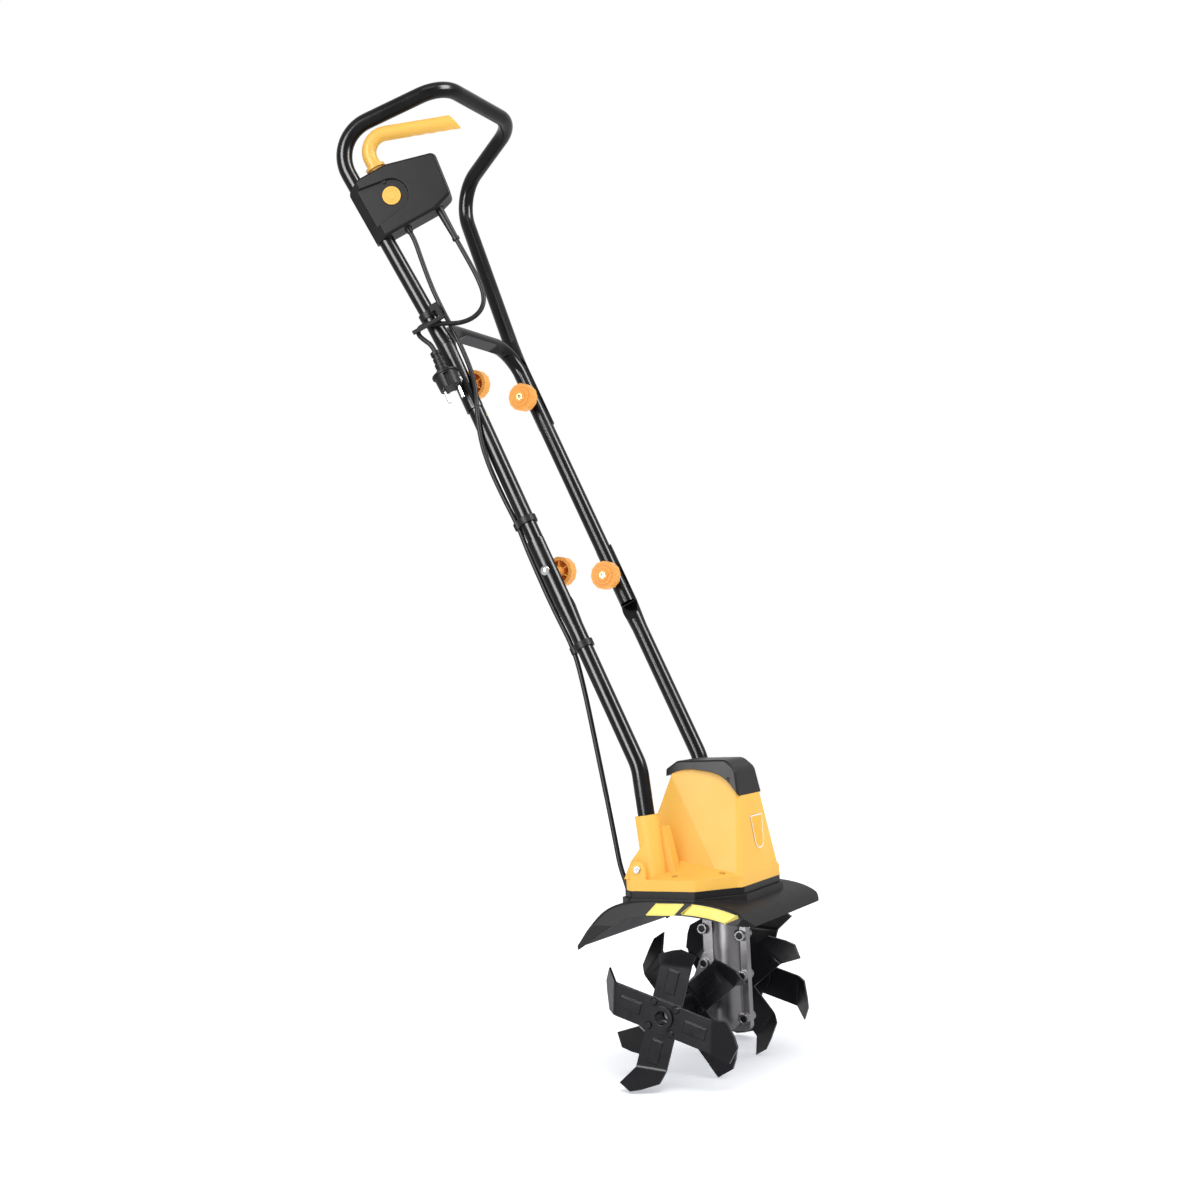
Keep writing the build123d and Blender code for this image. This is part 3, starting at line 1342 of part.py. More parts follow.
def bearing(bore_r, outer_r, width):
    ring = Cylinder(outer_r, width) - Cylinder(bore_r, 2 * width)
    groove = (outer_r + bore_r) / 2
    shield = Cylinder(groove + shield_half, width) - Cylinder(groove - shield_half, 2 * width)
    shield_lift = width - shield_depth
    return ring - Pos(0, 0, shield_lift) * shield - Pos(0, 0, -shield_lift) * shield


worm_bearing = Pos(0, worm_y, worm_bearing_top - worm_bearing_width / 2)
worm_foot_bearing = Pos(0, worm_y, worm_shaft_bottom + foot_play + worm_foot_bearing_width / 2)
pieces["worm_bearings"] = solids_of(
    worm_bearing * bearing(worm_shaft_r + shaft_gap, worm_bearing_r, worm_bearing_width),
    worm_foot_bearing * bearing(worm_foot_r + shaft_gap, worm_foot_bearing_r, worm_foot_bearing_width),
)

# Worm wheel and tine shaft
along_x = Plane((0, 0, 0), x_dir=(0, 1, 0), z_dir=(1, 0, 0))
wheel_twist = degrees(wheel_width * lead_slope / wheel_r)
wheel_gap_turn = 180 + 180 / wheel_teeth
wheel = Part() + twisted(gear_face(worm_module, wheel_teeth, wheel_addendum), wheel_width, wheel_twist)
wheel = Rot(0, 0, wheel_gap_turn) * wheel
wheel -= Cylinder(axle_r + seat_gap, 4 * wheel_width)
pieces["worm_wheel"] = along_x * wheel
axle = extrude(Plane.YZ.offset(-axle_half) * Circle(axle_r), 2 * axle_half)
axle = chamfer(axle.edges().filter_by(GeomType.CIRCLE), axle_bevel)
for side in (-1, 1):
    axle -= Pos(side * hub_pin_x, 0, 0) * Cylinder(hub_pin_r + seat_gap, 4 * axle_r)
pieces["tine_shaft"] = axle


def sleeve(start_x, length, outer_r, inner_r):
    return extrude(Plane.YZ.offset(start_x) * (Circle(outer_r) - Circle(inner_r)), length)


bush = sleeve(bush_inner_x, bush_length, bush_r, axle_r + shaft_gap)
pieces["shaft_bushes"] = solids_of(bush, mirrored(bush))
seal_x = bush_inner_x + bush_length + seal_step
seal = sleeve(seal_x, seal_length, bush_r, axle_r + running_gap)
pieces["shaft_seals"] = solids_of(seal, mirrored(seal))

# Gear case: column round the worm, drum round the wheel, bosses round the axle, split rim with screws
case_top = tray_floor
case = Pos(0, column_y, 0) * prism(Circle(column_r), case_bottom + column_r, case_top)
case += Pos(0, column_y, case_bottom + column_r) * Sphere(column_r)
drum_r = wheel_room + case_wall
case += extrude(Plane.YZ * Circle(drum_r), wheel_room_half + case_wall, both=True)
case += extrude(Plane.YZ * Circle(axle_boss_r), axle_boss_half, both=True)
web = make_face(Polyline(
    (column_y, 2 * drum_r),
    (case_rim_rear, 2 * drum_r - case_boss_r),
    (drum_r, 0),
    (0, -drum_r),
    (column_y, case_bottom + case_wall),
    close=True,
))
case += extrude(Plane.YZ * web, wheel_room_half, both=True)
rim = make_face(Polyline(
    (case_rim_front, case_top),
    (case_rim_rear, case_top),
    (case_rim_rear, drum_r + case_wall),
    (drum_r + case_wall, case_wall),
    (drum_r + case_wall, -case_wall),
    (case_wall, case_bottom),
    (case_rim_front, case_bottom),
    close=True,
))
rim = fillet(rim.vertices().filter_by(lambda v: v.Y < case_top - 1), case_rim_corner)
case += extrude(Plane.YZ * rim, case_rim, both=True)
flange_y = (case_rim_front + case_rim_rear) / 2
flange_depth = case_rim_rear - case_rim_front + 2 * case_boss_r
flange = Pos(0, flange_y) * RectangleRounded(2 * case_flange_half, flange_depth, case_boss_r)
case += prism(flange, case_top - case_flange, case_top)
boss_places = [(case_rim_front + case_boss_r, z) for z in case_front_screw_z]
boss_places += [(case_rim_rear - case_wall / 2, z) for z in case_rear_screw_z]
boss_places.append((drum_r - case_wall, -case_wall))
for y, z in boss_places:
    case += Plane.YZ * Pos(y, z) * extrude(Circle(case_boss_r), case_boss_half, both=True)
foot_seat_top = worm_shaft_bottom + worm_foot_bearing_width
worm_bore = Circle(worm_r + worm_module + worm_room)
case -= worm_place * prism(worm_bore, foot_seat_top + cut_over, drum_r)
case -= worm_place * prism(Circle(worm_bearing_r + seat_gap), drum_r, worm_bearing_top + seat_gap)
case -= worm_place * prism(Circle(worm_shaft_r + shaft_room), worm_bearing_top, case_top + cut_over)
foot_seat = Circle(worm_foot_bearing_r + seat_gap)
case -= worm_place * prism(foot_seat, worm_shaft_bottom - foot_play, foot_seat_top + worm_room)
case -= extrude(Plane.YZ * Circle(wheel_room), wheel_room_half, both=True)
case -= extrude(Plane.YZ * Circle(bush_r + seat_gap), seal_x + seal_length + seal_step, both=True)
case -= extrude(Plane.YZ * Circle(axle_r + shaft_room), 2 * axle_boss_half, both=True)
case_screw_seat = case_boss_half - case_screw_recess
for y, z in boss_places:
    case -= Plane.YZ * Pos(y, z) * extrude(Circle(case_screw_r + seat_gap), 2 * case_boss_half, both=True)
    recess = Plane((-case_screw_seat, y, z), z_dir=(-1, 0, 0))
    case -= recess * extrude(Circle(case_screw_head_r + screw_gap), case_boss_half)
guard_screw_places = [
    (side * (case_flange_half - case_boss_r), y)
    for side in (-1, 1)
    for y in (flange_y - flange_depth / 2 + case_boss_r, flange_y + flange_depth / 2 - case_boss_r)
]
for x, y in guard_screw_places:
    case -= Pos(x, y, case_top) * Cylinder(guard_screw_r + screw_gap, 4 * case_flange)
for name, side in sides.items():
    half_space = Pos(side * guard_half, 0, 0) * Box(2 * guard_half, 4 * guard_half, 4 * guard_half)
    pieces["gear_case_" + name] = case & half_space
case_screw = screw(2 * case_screw_seat, case_screw_r, case_screw_head_r, case_screw_head)
pieces["case_screws"] = solids_of(*[
    Plane((-case_screw_seat, y, z), z_dir=(-1, 0, 0)) * case_screw for y, z in boss_places
])

# Guard screws hold case, guard and base together
guard_screw = screw(guard_screw_length, guard_screw_r, guard_screw_head_r, case_screw_head)
screw_under = case_top - case_flange
pieces["guard_screws"] = solids_of(*[
    Plane((x, y, screw_under), z_dir=(0, 0, -1)) * guard_screw for x, y in guard_screw_places
])
for x, y in guard_screw_places:
    pieces["guard"] -= Pos(x, y, base_bottom) * Cylinder(guard_screw_r + screw_gap, 4 * guard_sheet)
    boss = prism(Circle(guard_boss_r), base_floor, base_floor + guard_boss)
    pieces["base_tray"] += Pos(x, y) * boss
    pieces["base_tray"] -= Pos(x, y, base_bottom) * Cylinder(guard_screw_r + seat_gap, 8 * base_wall)
shaft_hole = Pos(0, worm_y, base_bottom) * Cylinder(worm_shaft_r + worm_room, 8 * base_wall)
pieces["guard"] -= shaft_hole
pieces["base_tray"] -= shaft_hole


# One tine strip: flat bar with pressed ribs, both ends folded sideways on a slant and cut to a hooked point
def tine_strip(tip):
    half = tine_sheet / 2
    edge = tine_width / 2
    bend_out = tip * tine_tip_side
    line = FilletPolyline(
        (-tine_reach, bend_out),
        (-tine_bend_r, 0),
        (tine_bend_r, 0),
        (tine_reach, bend_out),
        radius=tine_fold_r,
    )
    slope = bend_out / (tine_reach - tine_bend_r)
    ends = [
        Line((-tine_reach, bend_out), (-2 * tine_reach, bend_out + slope * tine_reach)),
        Line((tine_reach, bend_out), (2 * tine_reach, bend_out + slope * tine_reach)),
    ]
    bar = make_face(offset(Wire([*ends[0].edges(), *line.edges(), *ends[1].edges()]), half))
    skew = radians(tine_fold_skew)
    strip = extrude(Plane.XZ * bar, 2 * tine_width, dir=(-sin(skew), cos(skew), 0), both=True)
    fold_shift = edge * tan(skew)
    blade = [
        (0, edge),
        (tine_reach - tine_clip, edge),
        (tine_reach - tine_clip / 3, edge - tine_clip),
        (tine_reach, -edge / 2),
        (tine_reach - tine_hook / 3, -edge - tine_hook),
        (tine_bend_r + fold_shift, -edge),
        (0, -edge),
    ]
    plan = make_face(Polyline(*blade, close=True))
    plan = plan + Rot(0, 0, 180) * plan
    strip &= extrude(plan, 2 * tine_tip_side, both=True)
    rib_length = tine_bend_r - fold_shift - rib_end_gap - rib_start
    for sign in (-1, 1):
        rib = Pos(sign * (rib_start + rib_length / 2), 0, half + rib_rise / 2)
        ridge = Box(rib_length, rib_width, rib_rise)
        ridge = chamfer(ridge.edges().group_by(Axis.Z)[-1], rib_rise * rib_bevel)
        strip += rib * ridge
    return strip - Cylinder(hub_r + seat_gap, 4 * tine_sheet)


# A star: two strips crossed on the hub's flange, four rivets
def star(x, turn):
    place = Plane((-x, 0, 0), x_dir=(0, -cos(radians(turn)), sin(radians(turn))), z_dir=(-1, 0, 0))
    outer_strip = tine_strip(-1)
    inner_strip = Rot(0, 0, 90) * tine_strip(1)
    gap = tine_sheet / 2
    strips = [Pos(0, 0, gap) * outer_strip, Pos(0, 0, -gap) * inner_strip]
    rivets = []
    for index in range(4):
        angle = radians(45 + 90 * index)
        spot = Pos(rivet_circle_r * cos(angle), rivet_circle_r * sin(angle), 0)
        shank_low = -2 * gap - hub_flange
        rivet = extrude(Plane.XY.offset(shank_low) * Circle(rivet_r), 4 * gap + hub_flange)
        head = extrude(Plane.XY.offset(2 * gap) * Circle(rivet_head_r), rivet_head, taper=rivet_taper)
        rivets.append(spot * (rivet + head))
    holes = solids_of(*[
        Pos(rivet_circle_r * cos(radians(45 + 90 * i)), rivet_circle_r * sin(radians(45 + 90 * i)), 0)
        * Cylinder(rivet_r + seat_gap, 8 * tine_sheet)
        for i in range(4)
    ])
    strips = [place * (strip - holes) for strip in strips]
    return strips, [place * rivet for rivet in rivets], place * holes


tine_strips = []
tine_rivets = []
hub = extrude(Plane.YZ.offset(-hub_end_x) * Circle(hub_r), hub_end_x - hub_start_x)
for x, turn in ((inner_star_x, inner_star_turn), (outer_star_x, outer_star_turn)):
    strips, rivets, holes = star(x, turn)
    hub += extrude(Plane.YZ.offset(tine_sheet - x) * Circle(hub_flange_r), hub_flange)
    hub -= holes
    tine_strips += strips
    tine_rivets += rivets
hub -= extrude(Plane.YZ.offset(-2 * hub_end_x) * Circle(axle_r + seat_gap), 2 * hub_end_x)
hub -= Pos(-hub_pin_x, 0, 0) * Cylinder(hub_pin_r + seat_gap, 4 * hub_r)
pieces["tine_hubs"] = solids_of(hub, mirrored(hub))
for name, right_side in (("tine_strips", tine_strips), ("tine_rivets", tine_rivets)):
    pieces[name] = solids_of(*right_side, *[mirrored(piece) for piece in right_side])
hub_pin = screw(2 * hub_r + hub_pin_over, hub_pin_r, 1.5 * hub_pin_r, hub_pin_r)
pieces["hub_pins"] = solids_of(*[Pos(side * hub_pin_x, 0, hub_r) * hub_pin for side in (-1, 1)])


# Motor: bracket with the lower bearing, fan, stator, armature, commutator, end frame with brushes
motor_place = Pos(0, motor_y, 0)
bracket_top = bracket_low + bracket_plate
seat_low = bracket_low + bearing_ledge
seat_high = seat_low + motor_bearing_width
bracket = prism(Circle(bracket_r), bracket_low, bracket_top)
bracket += prism(Circle(motor_bearing_r + bearing_wall), bracket_low, seat_high)
leg_spots = [Rot(0, 0, 45 + 90 * index) * Pos(bracket_leg_circle, 0, 0) for index in range(4)]
for spot in leg_spots:
    bracket += spot * prism(Circle(bracket_leg_r), base_floor, stator_low)
bracket -= prism(Circle(motor_bearing_r + seat_gap), seat_low, seat_high + cut_over)
bracket -= prism(Circle(motor_shaft_r + bearing_wall), bracket_low - cut_over, seat_high)
pieces["motor_bracket"] = motor_place * bracket
motor_bearing = bearing(motor_shaft_r + shaft_gap, motor_bearing_r, motor_bearing_width)
upper_seat = end_frame_low + bearing_ledge
pieces["motor_bearings"] = motor_place * solids_of(
    Pos(0, 0, seat_low + motor_bearing_width / 2) * motor_bearing,
    Pos(0, 0, upper_seat + motor_bearing_width / 2) * motor_bearing,
)


# Ring sector facing front and rear, for the field coils
def coil_sector(grow):
    ring = Circle(coil_outer_r + grow) - Circle(coil_inner_r - grow)
    reach = 2 * coil_outer_r
    slope = tan(radians(coil_half_angle)) * reach
    wedge = make_face(Polyline((0, 0), (slope, reach), (-slope, reach), close=True))
    wedge = offset(wedge, grow, kind=Kind.INTERSECTION) if grow else wedge
    return ring & wedge


stator = prism(Circle(stator_r) - Circle(stator_bore_r), stator_low, stator_high)
coils = []
for turn in (0, 180):
    stator -= Rot(0, 0, turn) * prism(coil_sector(seat_gap), stator_low - cut_over, stator_high + cut_over)
    field_coil = prism(coil_sector(0), stator_low - coil_overhang, stator_high + coil_overhang)
    coils.append(Rot(0, 0, turn) * field_coil)
pieces["stator"] = motor_place * solids_of(stator, *coils)
core_r = stator_bore_r - armature_gap
core_low = stator_low + 2 * armature_gap
core_high = stator_high - 2 * armature_gap
core = prism(Circle(core_r), core_low, core_high)
slot_cut = Box(2 * slot_depth, slot_width, 2 * winding_height + stator_high)
for index in range(armature_slots):
    slot = Pos(core_r, 0, (core_low + core_high) / 2) * slot_cut
    core -= Rot(0, 0, 360 / armature_slots * index) * slot
core -= prism(Circle(motor_shaft_r + seat_gap), core_low - cut_over, core_high + cut_over)
winding = Circle(winding_r) - Circle(winding_inner_r)
pieces["armature"] = motor_place * solids_of(
    core,
    prism(winding, core_low - winding_height, core_low),
    prism(winding, core_high, core_high + winding_height),
)
commutator = prism(Circle(commutator_r), commutator_low, commutator_low + commutator_length)
for index in range(commutator_bars):
    cut = Pos(commutator_r, 0, commutator_low) * Box(2 * bar_depth, bar_gap, 4 * commutator_length)
    commutator -= Rot(0, 0, 360 / commutator_bars * index) * cut
commutator -= prism(Circle(motor_shaft_r + seat_gap), commutator_low - cut_over, end_frame_low)
pieces["commutator"] = motor_place * commutator
fan = prism(Circle(fan_r), fan_low, fan_low + fan_plate)
fan += prism(Circle(fan_hub_r), fan_low, fan_low + fan_height)
for index in range(fan_blades):
    blade = Pos((fan_hub_r + fan_r) / 2 - fan_plate, 0, fan_low + fan_height / 2)
    blade = blade * Box(fan_r - fan_hub_r, fan_blade, fan_height)
    fan += Rot(0, 0, 360 / fan_blades * index) * blade
fan -= prism(Circle(motor_shaft_r + seat_gap), fan_low - cut_over, stator_low)
pieces["fan"] = motor_place * fan
pinion = extrude(gear_face(spur_module, pinion_teeth), spur_width + 2 * pinion_over)
motor_shaft = Pos(0, 0, spur_bottom - pinion_over) * Rot(0, 0, -90) * pinion
shaft_low = spur_bottom + spur_width + pinion_over
motor_shaft += prism(Circle(motor_shaft_r), shaft_low, upper_seat + motor_bearing_width)
pieces["motor_shaft"] = motor_place * motor_shaft
end_frame = prism(Circle(end_frame_r), end_frame_low, end_frame_low + bearing_wall)
end_frame += prism(Circle(motor_bearing_r + bearing_wall), end_frame_low, upper_seat + motor_bearing_width)
for index in range(4):
    spot = Rot(0, 0, 45 + 90 * index) * Pos(end_frame_r - bracket_leg_r, 0, 0)
    end_frame += spot * prism(Circle(bracket_leg_r - leg_step), stator_high, end_frame_low)
brush_z = commutator_low + commutator_length / 2
holder_size = brush_size + 2 * brush_wall
holder_z = (brush_z + end_frame_low) / 2 - holder_size / 4
holder_start = commutator_r + 2 * brush_wall
holder_end = commutator_r + running_gap + brush_length + brush_wall
brushes = []
for side in (-1, 1):
    holder_middle = Pos(side * (holder_start + holder_end) / 2, 0, holder_z)
    end_frame += holder_middle * Box(
        holder_end - holder_start, holder_size, end_frame_low - brush_z + holder_size / 2)
    brush_middle = Pos(side * (commutator_r + running_gap + brush_length / 2), 0, brush_z)
    end_frame -= brush_middle * Box(
        brush_length + 2 * seat_gap, brush_size + 2 * seat_gap, brush_size + 2 * seat_gap)
    brushes.append(brush_middle * Box(brush_length, brush_size, brush_size))
end_frame -= prism(Circle(motor_bearing_r + seat_gap), upper_seat, upper_seat + 2 * motor_bearing_width)
end_frame -= prism(Circle(motor_shaft_r + bearing_wall), end_frame_low - cut_over, upper_seat + cut_over)
pieces["end_frame"] = motor_place * end_frame
pieces["carbon_brushes"] = motor_place * solids_of(*brushes)

# Hand over: the model is moved so that it stands on the ground, centred over its own footprint
os.makedirs("parts", exist_ok=True)
body_box = Compound([pieces[n] for n in pieces if n not in cord_pieces]).bounding_box()
shift = Vector(-body_box.center().X, -body_box.center().Y, -body_box.min.Z)
print("shift from axle centre", shift)
for name, piece in pieces.items():
    export_step(Pos(shift) * piece, f"parts/{name}.step")
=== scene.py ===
import bpy
from math import cos, radians, sin
from mathutils import Matrix, Vector


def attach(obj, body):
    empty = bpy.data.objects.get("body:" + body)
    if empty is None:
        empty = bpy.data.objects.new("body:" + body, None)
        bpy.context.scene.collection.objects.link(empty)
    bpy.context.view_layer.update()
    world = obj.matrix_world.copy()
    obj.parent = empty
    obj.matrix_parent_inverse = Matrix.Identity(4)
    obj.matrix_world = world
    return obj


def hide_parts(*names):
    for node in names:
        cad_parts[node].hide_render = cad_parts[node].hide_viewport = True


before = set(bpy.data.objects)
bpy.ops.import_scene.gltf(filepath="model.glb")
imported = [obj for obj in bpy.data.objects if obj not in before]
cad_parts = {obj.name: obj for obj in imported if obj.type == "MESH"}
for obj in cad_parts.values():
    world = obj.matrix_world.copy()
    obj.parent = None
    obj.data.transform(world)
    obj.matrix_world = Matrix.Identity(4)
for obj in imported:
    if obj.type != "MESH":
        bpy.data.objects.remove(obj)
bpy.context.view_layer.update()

bpy.ops.object.select_all(action="DESELECT")
bpy.context.scene.view_settings.view_transform = "Standard"
print("frame loaded:", len(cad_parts), "nodes")


# Camera of the photo, found from the tubes' bends, knobs, hub and plug
photoView = {
    "place": (-2.0016, -1.0395, 0.5033),
    "yaw": 26.970,      # degrees from +X towards +Y
    "pitch": 2.855,
    "roll": -2.674,
    "lens": 49.6,
    "sensor": 36,
}


def addCamera():
    yaw, pitch, roll = (radians(photoView[key]) for key in ("yaw", "pitch", "roll"))
    ahead = Vector((cos(yaw) * cos(pitch), sin(yaw) * cos(pitch), sin(pitch)))
    level = ahead.cross(Vector((0, 0, 1))).normalized()
    rise = level.cross(ahead)
    right = cos(roll) * level + sin(roll) * rise
    up = cos(roll) * rise - sin(roll) * level
    bpy.ops.object.camera_add()
    camera = bpy.context.object
    camera.data.lens = photoView["lens"]
    camera.data.sensor_width = photoView["sensor"]
    turn = Matrix((right, up, -ahead)).transposed().to_4x4()
    camera.matrix_world = Matrix.Translation(photoView["place"]) @ turn
    bpy.context.scene.camera = camera


addCamera()
print("camera set")


# Sets a socket, or links another one to it
def plug(shader, name, value):
    if isinstance(value, Sock):
        value.tree.links.new(value.out, shader.inputs[name])
    else:
        shader.inputs[name].default_value = value


# A socket that takes part in sums, so that a shader reads like a formula
class Sock:
    def __init__(self, tree, out):
        self.tree = tree
        self.out = out

    def node(self, kind, settings=None, values=None, output=0):
        made = self.tree.nodes.new(kind)
        for key, value in (settings or {}).items():
            setattr(made, key, value)
        for key, value in (values or {}).items():
            plug(made, key, value)
        return Sock(self.tree, made.outputs[output])

    def math(self, operation, first, second):
        return self.node("ShaderNodeMath", {"operation": operation}, {0: first, 1: second})

    def __add__(self, other):
        return self.math("ADD", self, other)

    def __radd__(self, other):
        return self.math("ADD", other, self)

    def __sub__(self, other):
        return self.math("SUBTRACT", self, other)

    def __rsub__(self, other):
        return self.math("SUBTRACT", other, self)

    def __mul__(self, other):
        return self.math("MULTIPLY", self, other)

    def __rmul__(self, other):
        return self.math("MULTIPLY", other, self)

    def noise(self, scale, detail=3.0, rough=0.5, squeeze=(1, 1, 1)):
        spot = self
        if squeeze != (1, 1, 1):
            spot = self.node("ShaderNodeMapping", None, {"Vector": self, "Scale": squeeze})
        values = {"Vector": spot, "Scale": scale, "Detail": detail, "Roughness": rough}
        return self.node("ShaderNodeTexNoise", None, values)

    def ramp(self, low, high):
        return self.node("ShaderNodeMapRange", None, {0: self, 1: low, 2: high})

    def tint(self, first, second):
        first, second = (tone if isinstance(tone, Sock) else (*tone, 1) for tone in (first, second))
        return self.node("ShaderNodeMix", {"data_type": "RGBA"}, {0: self, 6: first, 7: second}, 2)


# A material with its shader and the object's own coordinates to start from
def startFinish(name):
    finish = bpy.data.materials.new(name)
    finish.use_nodes = True
    tree = finish.node_tree
    shader = tree.nodes["Principled BSDF"]
    coords = tree.nodes.new("ShaderNodeTexCoord")
    return finish, shader, Sock(tree, coords.outputs["Object"])


edgeLook = {"samples": 6, "sharpest": 0.25}


# Normals of edges rounded to a radius
def roundEdges(spot, radius):
    return spot.node("ShaderNodeBevel", {"samples": edgeLook["samples"]}, {"Radius": radius})


# Mask of the rounded edges, for wear and for a painted edge highlight
def litAndWornEdges(spot, bevel):
    flat = spot.node("ShaderNodeNewGeometry", output=1)
    along = spot.node("ShaderNodeVectorMath", {"operation": "DOT_PRODUCT"}, {0: bevel, 1: flat}, output=1)
    return (1 - along).ramp(0.0, edgeLook["sharpest"])


def bump(spot, height, strength, distance, normal=None):
    values = {"Height": height, "Strength": strength, "Distance": distance}
    if normal:
        values["Normal"] = normal
    return spot.node("ShaderNodeBump", None, values)


# Gloss paint on the handle tubes: deep black, faint orange peel, a little handling haze
tubePaint = {
    "colour": (0.003, 0.0027, 0.003),
    "haze": (0.008, 0.0075, 0.008),
    "hazeScale": 26.0,
    "hazeRange": (0.45, 0.85),
    "hazeDull": 0.1,
    "gloss": 0.2,
    "shine": 0.13,
    "peelScale": 70.0,
    "peel": 0.2,
    "peelDepth": 0.00002,
}


def paintTube():
    finish, shader, spot = startFinish("tubePaint")
    haze = spot.noise(tubePaint["hazeScale"], detail=5).ramp(*tubePaint["hazeRange"])
    plug(shader, "Base Color", haze.tint(tubePaint["colour"], tubePaint["haze"]))
    plug(shader, "Roughness", haze * tubePaint["hazeDull"] + tubePaint["gloss"])
    peel = spot.noise(tubePaint["peelScale"], detail=2)
    plug(shader, "Normal", bump(spot, peel, tubePaint["peel"], tubePaint["peelDepth"]))
    plug(shader, "Specular IOR Level", tubePaint["shine"])
    return finish


# Black moulded plastic with a spark-eroded grain
blackMoulding = {
    "colour": (0.013, 0.012, 0.0125),
    # paler tone for random wear patches, and a painted highlight on the edges
    "worn": (0.034, 0.032, 0.034),
    "edge": 0.0009,
    "edgeWearAndHighlight": 0.6,
    "cloudScale": 38.0,
    "cloudWear": 0.25,
    "cloudDull": 0.14,
    "grainScale": 1500.0,
    "grain": 0.35,
    "shine": 0.065,
    "boxGloss": 0.40,
    "boxGrainDepth": 0.0001,
    "guardGloss": 0.46,
    "guardGrainDepth": 0.00014,
}


def mouldBlack(name, gloss, grainDepth):
    finish, shader, spot = startFinish(name)
    bevel = roundEdges(spot, blackMoulding["edge"])
    edge = litAndWornEdges(spot, bevel)
    cloud = spot.noise(blackMoulding["cloudScale"], detail=4)
    # paler edges: partly wear, partly painted edge highlight; the cloud patches are wear
    wearAndEdgeHighlight = edge * blackMoulding["edgeWearAndHighlight"] + cloud * blackMoulding["cloudWear"]
    plug(shader, "Base Color", wearAndEdgeHighlight.tint(blackMoulding["colour"], blackMoulding["worn"]))
    dull = blackMoulding["cloudDull"]
    plug(shader, "Roughness", cloud * dull + (gloss - dull / 2))
    grain = spot.noise(blackMoulding["grainScale"], detail=2, rough=0.6)
    plug(shader, "Normal", bump(spot, grain, blackMoulding["grain"], grainDepth, bevel))
    plug(shader, "Specular IOR Level", blackMoulding["shine"])
    return finish


# Amber moulded plastic: warm flow shade, paler edges that are partly rubbed wear and partly a painted edge
# highlight, fine grain
amberMoulding = {
    "colour": (0.95, 0.55, 0.11),
    "deep": (0.93, 0.49, 0.08),
    # paler tone on the edges: partly rubbed wear, partly painted highlight
    "paleLitEdge": (0.97, 0.63, 0.19),
    "edge": 0.001,
    "edgeWearAndHighlight": 0.5,
    "flowScale": 14.0,
    "flowRange": (0.35, 0.7),
    "flowShade": 0.5,
    "flowDull": 0.1,
    "gloss": 0.36,
    "grainScale": 1300.0,
    "grain": 0.3,
    "grainDepth": 0.00004,
    "shine": 0.05,
}


def mouldAmber():
    finish, shader, spot = startFinish("amberMoulding")
    bevel = roundEdges(spot, amberMoulding["edge"])
    edge = litAndWornEdges(spot, bevel)
    flow = spot.noise(amberMoulding["flowScale"], detail=4, rough=0.55).ramp(*amberMoulding["flowRange"])
    body = (flow * amberMoulding["flowShade"]).tint(amberMoulding["colour"], amberMoulding["deep"])
    # edges tinted paler: partly wear, partly painted edge highlight
    plug(shader, "Base Color", (edge * amberMoulding["edgeWearAndHighlight"]).tint(body, amberMoulding["paleLitEdge"]))
    plug(shader, "Roughness", flow * amberMoulding["flowDull"] + amberMoulding["gloss"])
    grain = spot.noise(amberMoulding["grainScale"], detail=2, rough=0.6)
    plug(shader, "Normal", bump(spot, grain, amberMoulding["grain"], amberMoulding["grainDepth"], bevel))
    plug(shader, "Specular IOR Level", amberMoulding["shine"])
    return finish


# Amber parts that hands turn and squeeze: smoother, with polished and duller patches
handled = {
    "gripColour": (0.95, 0.55, 0.115),
    "knobColour": (0.95, 0.43, 0.10),
    "duller": 0.94,
    "flowScale": 22.0,
    "flowRange": (0.35, 0.7),
    "polishScale": 70.0,
    "polishRange": (0.3, 0.7),
    "polishDull": 0.12,
    "gloss": 0.26,
    "shine": 0.06,
    "sinkScale": 60.0,
    "sink": 0.3,
    "sinkDepth": 0.00008,
}


def mouldGrip(name, colour):
    finish, shader, spot = startFinish(name)
    flow = spot.noise(handled["flowScale"], detail=4, rough=0.55).ramp(*handled["flowRange"])
    plug(shader, "Base Color", flow.tint(colour, tuple(handled["duller"] * part for part in colour)))
    polish = spot.noise(handled["polishScale"], detail=3).ramp(*handled["polishRange"])
    plug(shader, "Roughness", polish * handled["polishDull"] + handled["gloss"])
    sink = spot.noise(handled["sinkScale"], detail=2)
    plug(shader, "Normal", bump(spot, sink, handled["sink"], handled["sinkDepth"]))
    plug(shader, "Specular IOR Level", handled["shine"])
    return finish


# Black paint on pressed steel, with a painted highlight on the edges, broken into patches
tinePaint = {
    "colour": (0.009, 0.0085, 0.0105),
    # paler tone for a painted highlight on the edges
    "edgeHighlight": (0.04, 0.04, 0.046),
    "edge": 0.0008,
    "patchScale": 60.0,
    "patchRange": (0.35, 0.6),
    "patchDull": 0.2,
    "gloss": 0.3,
    "shine": 0.12,
    "rippleScale": 90.0,
    "fineScale": 900.0,
    "fineShare": 0.3,
    "ripple": 0.2,
    "rippleDepth": 0.0005,
}


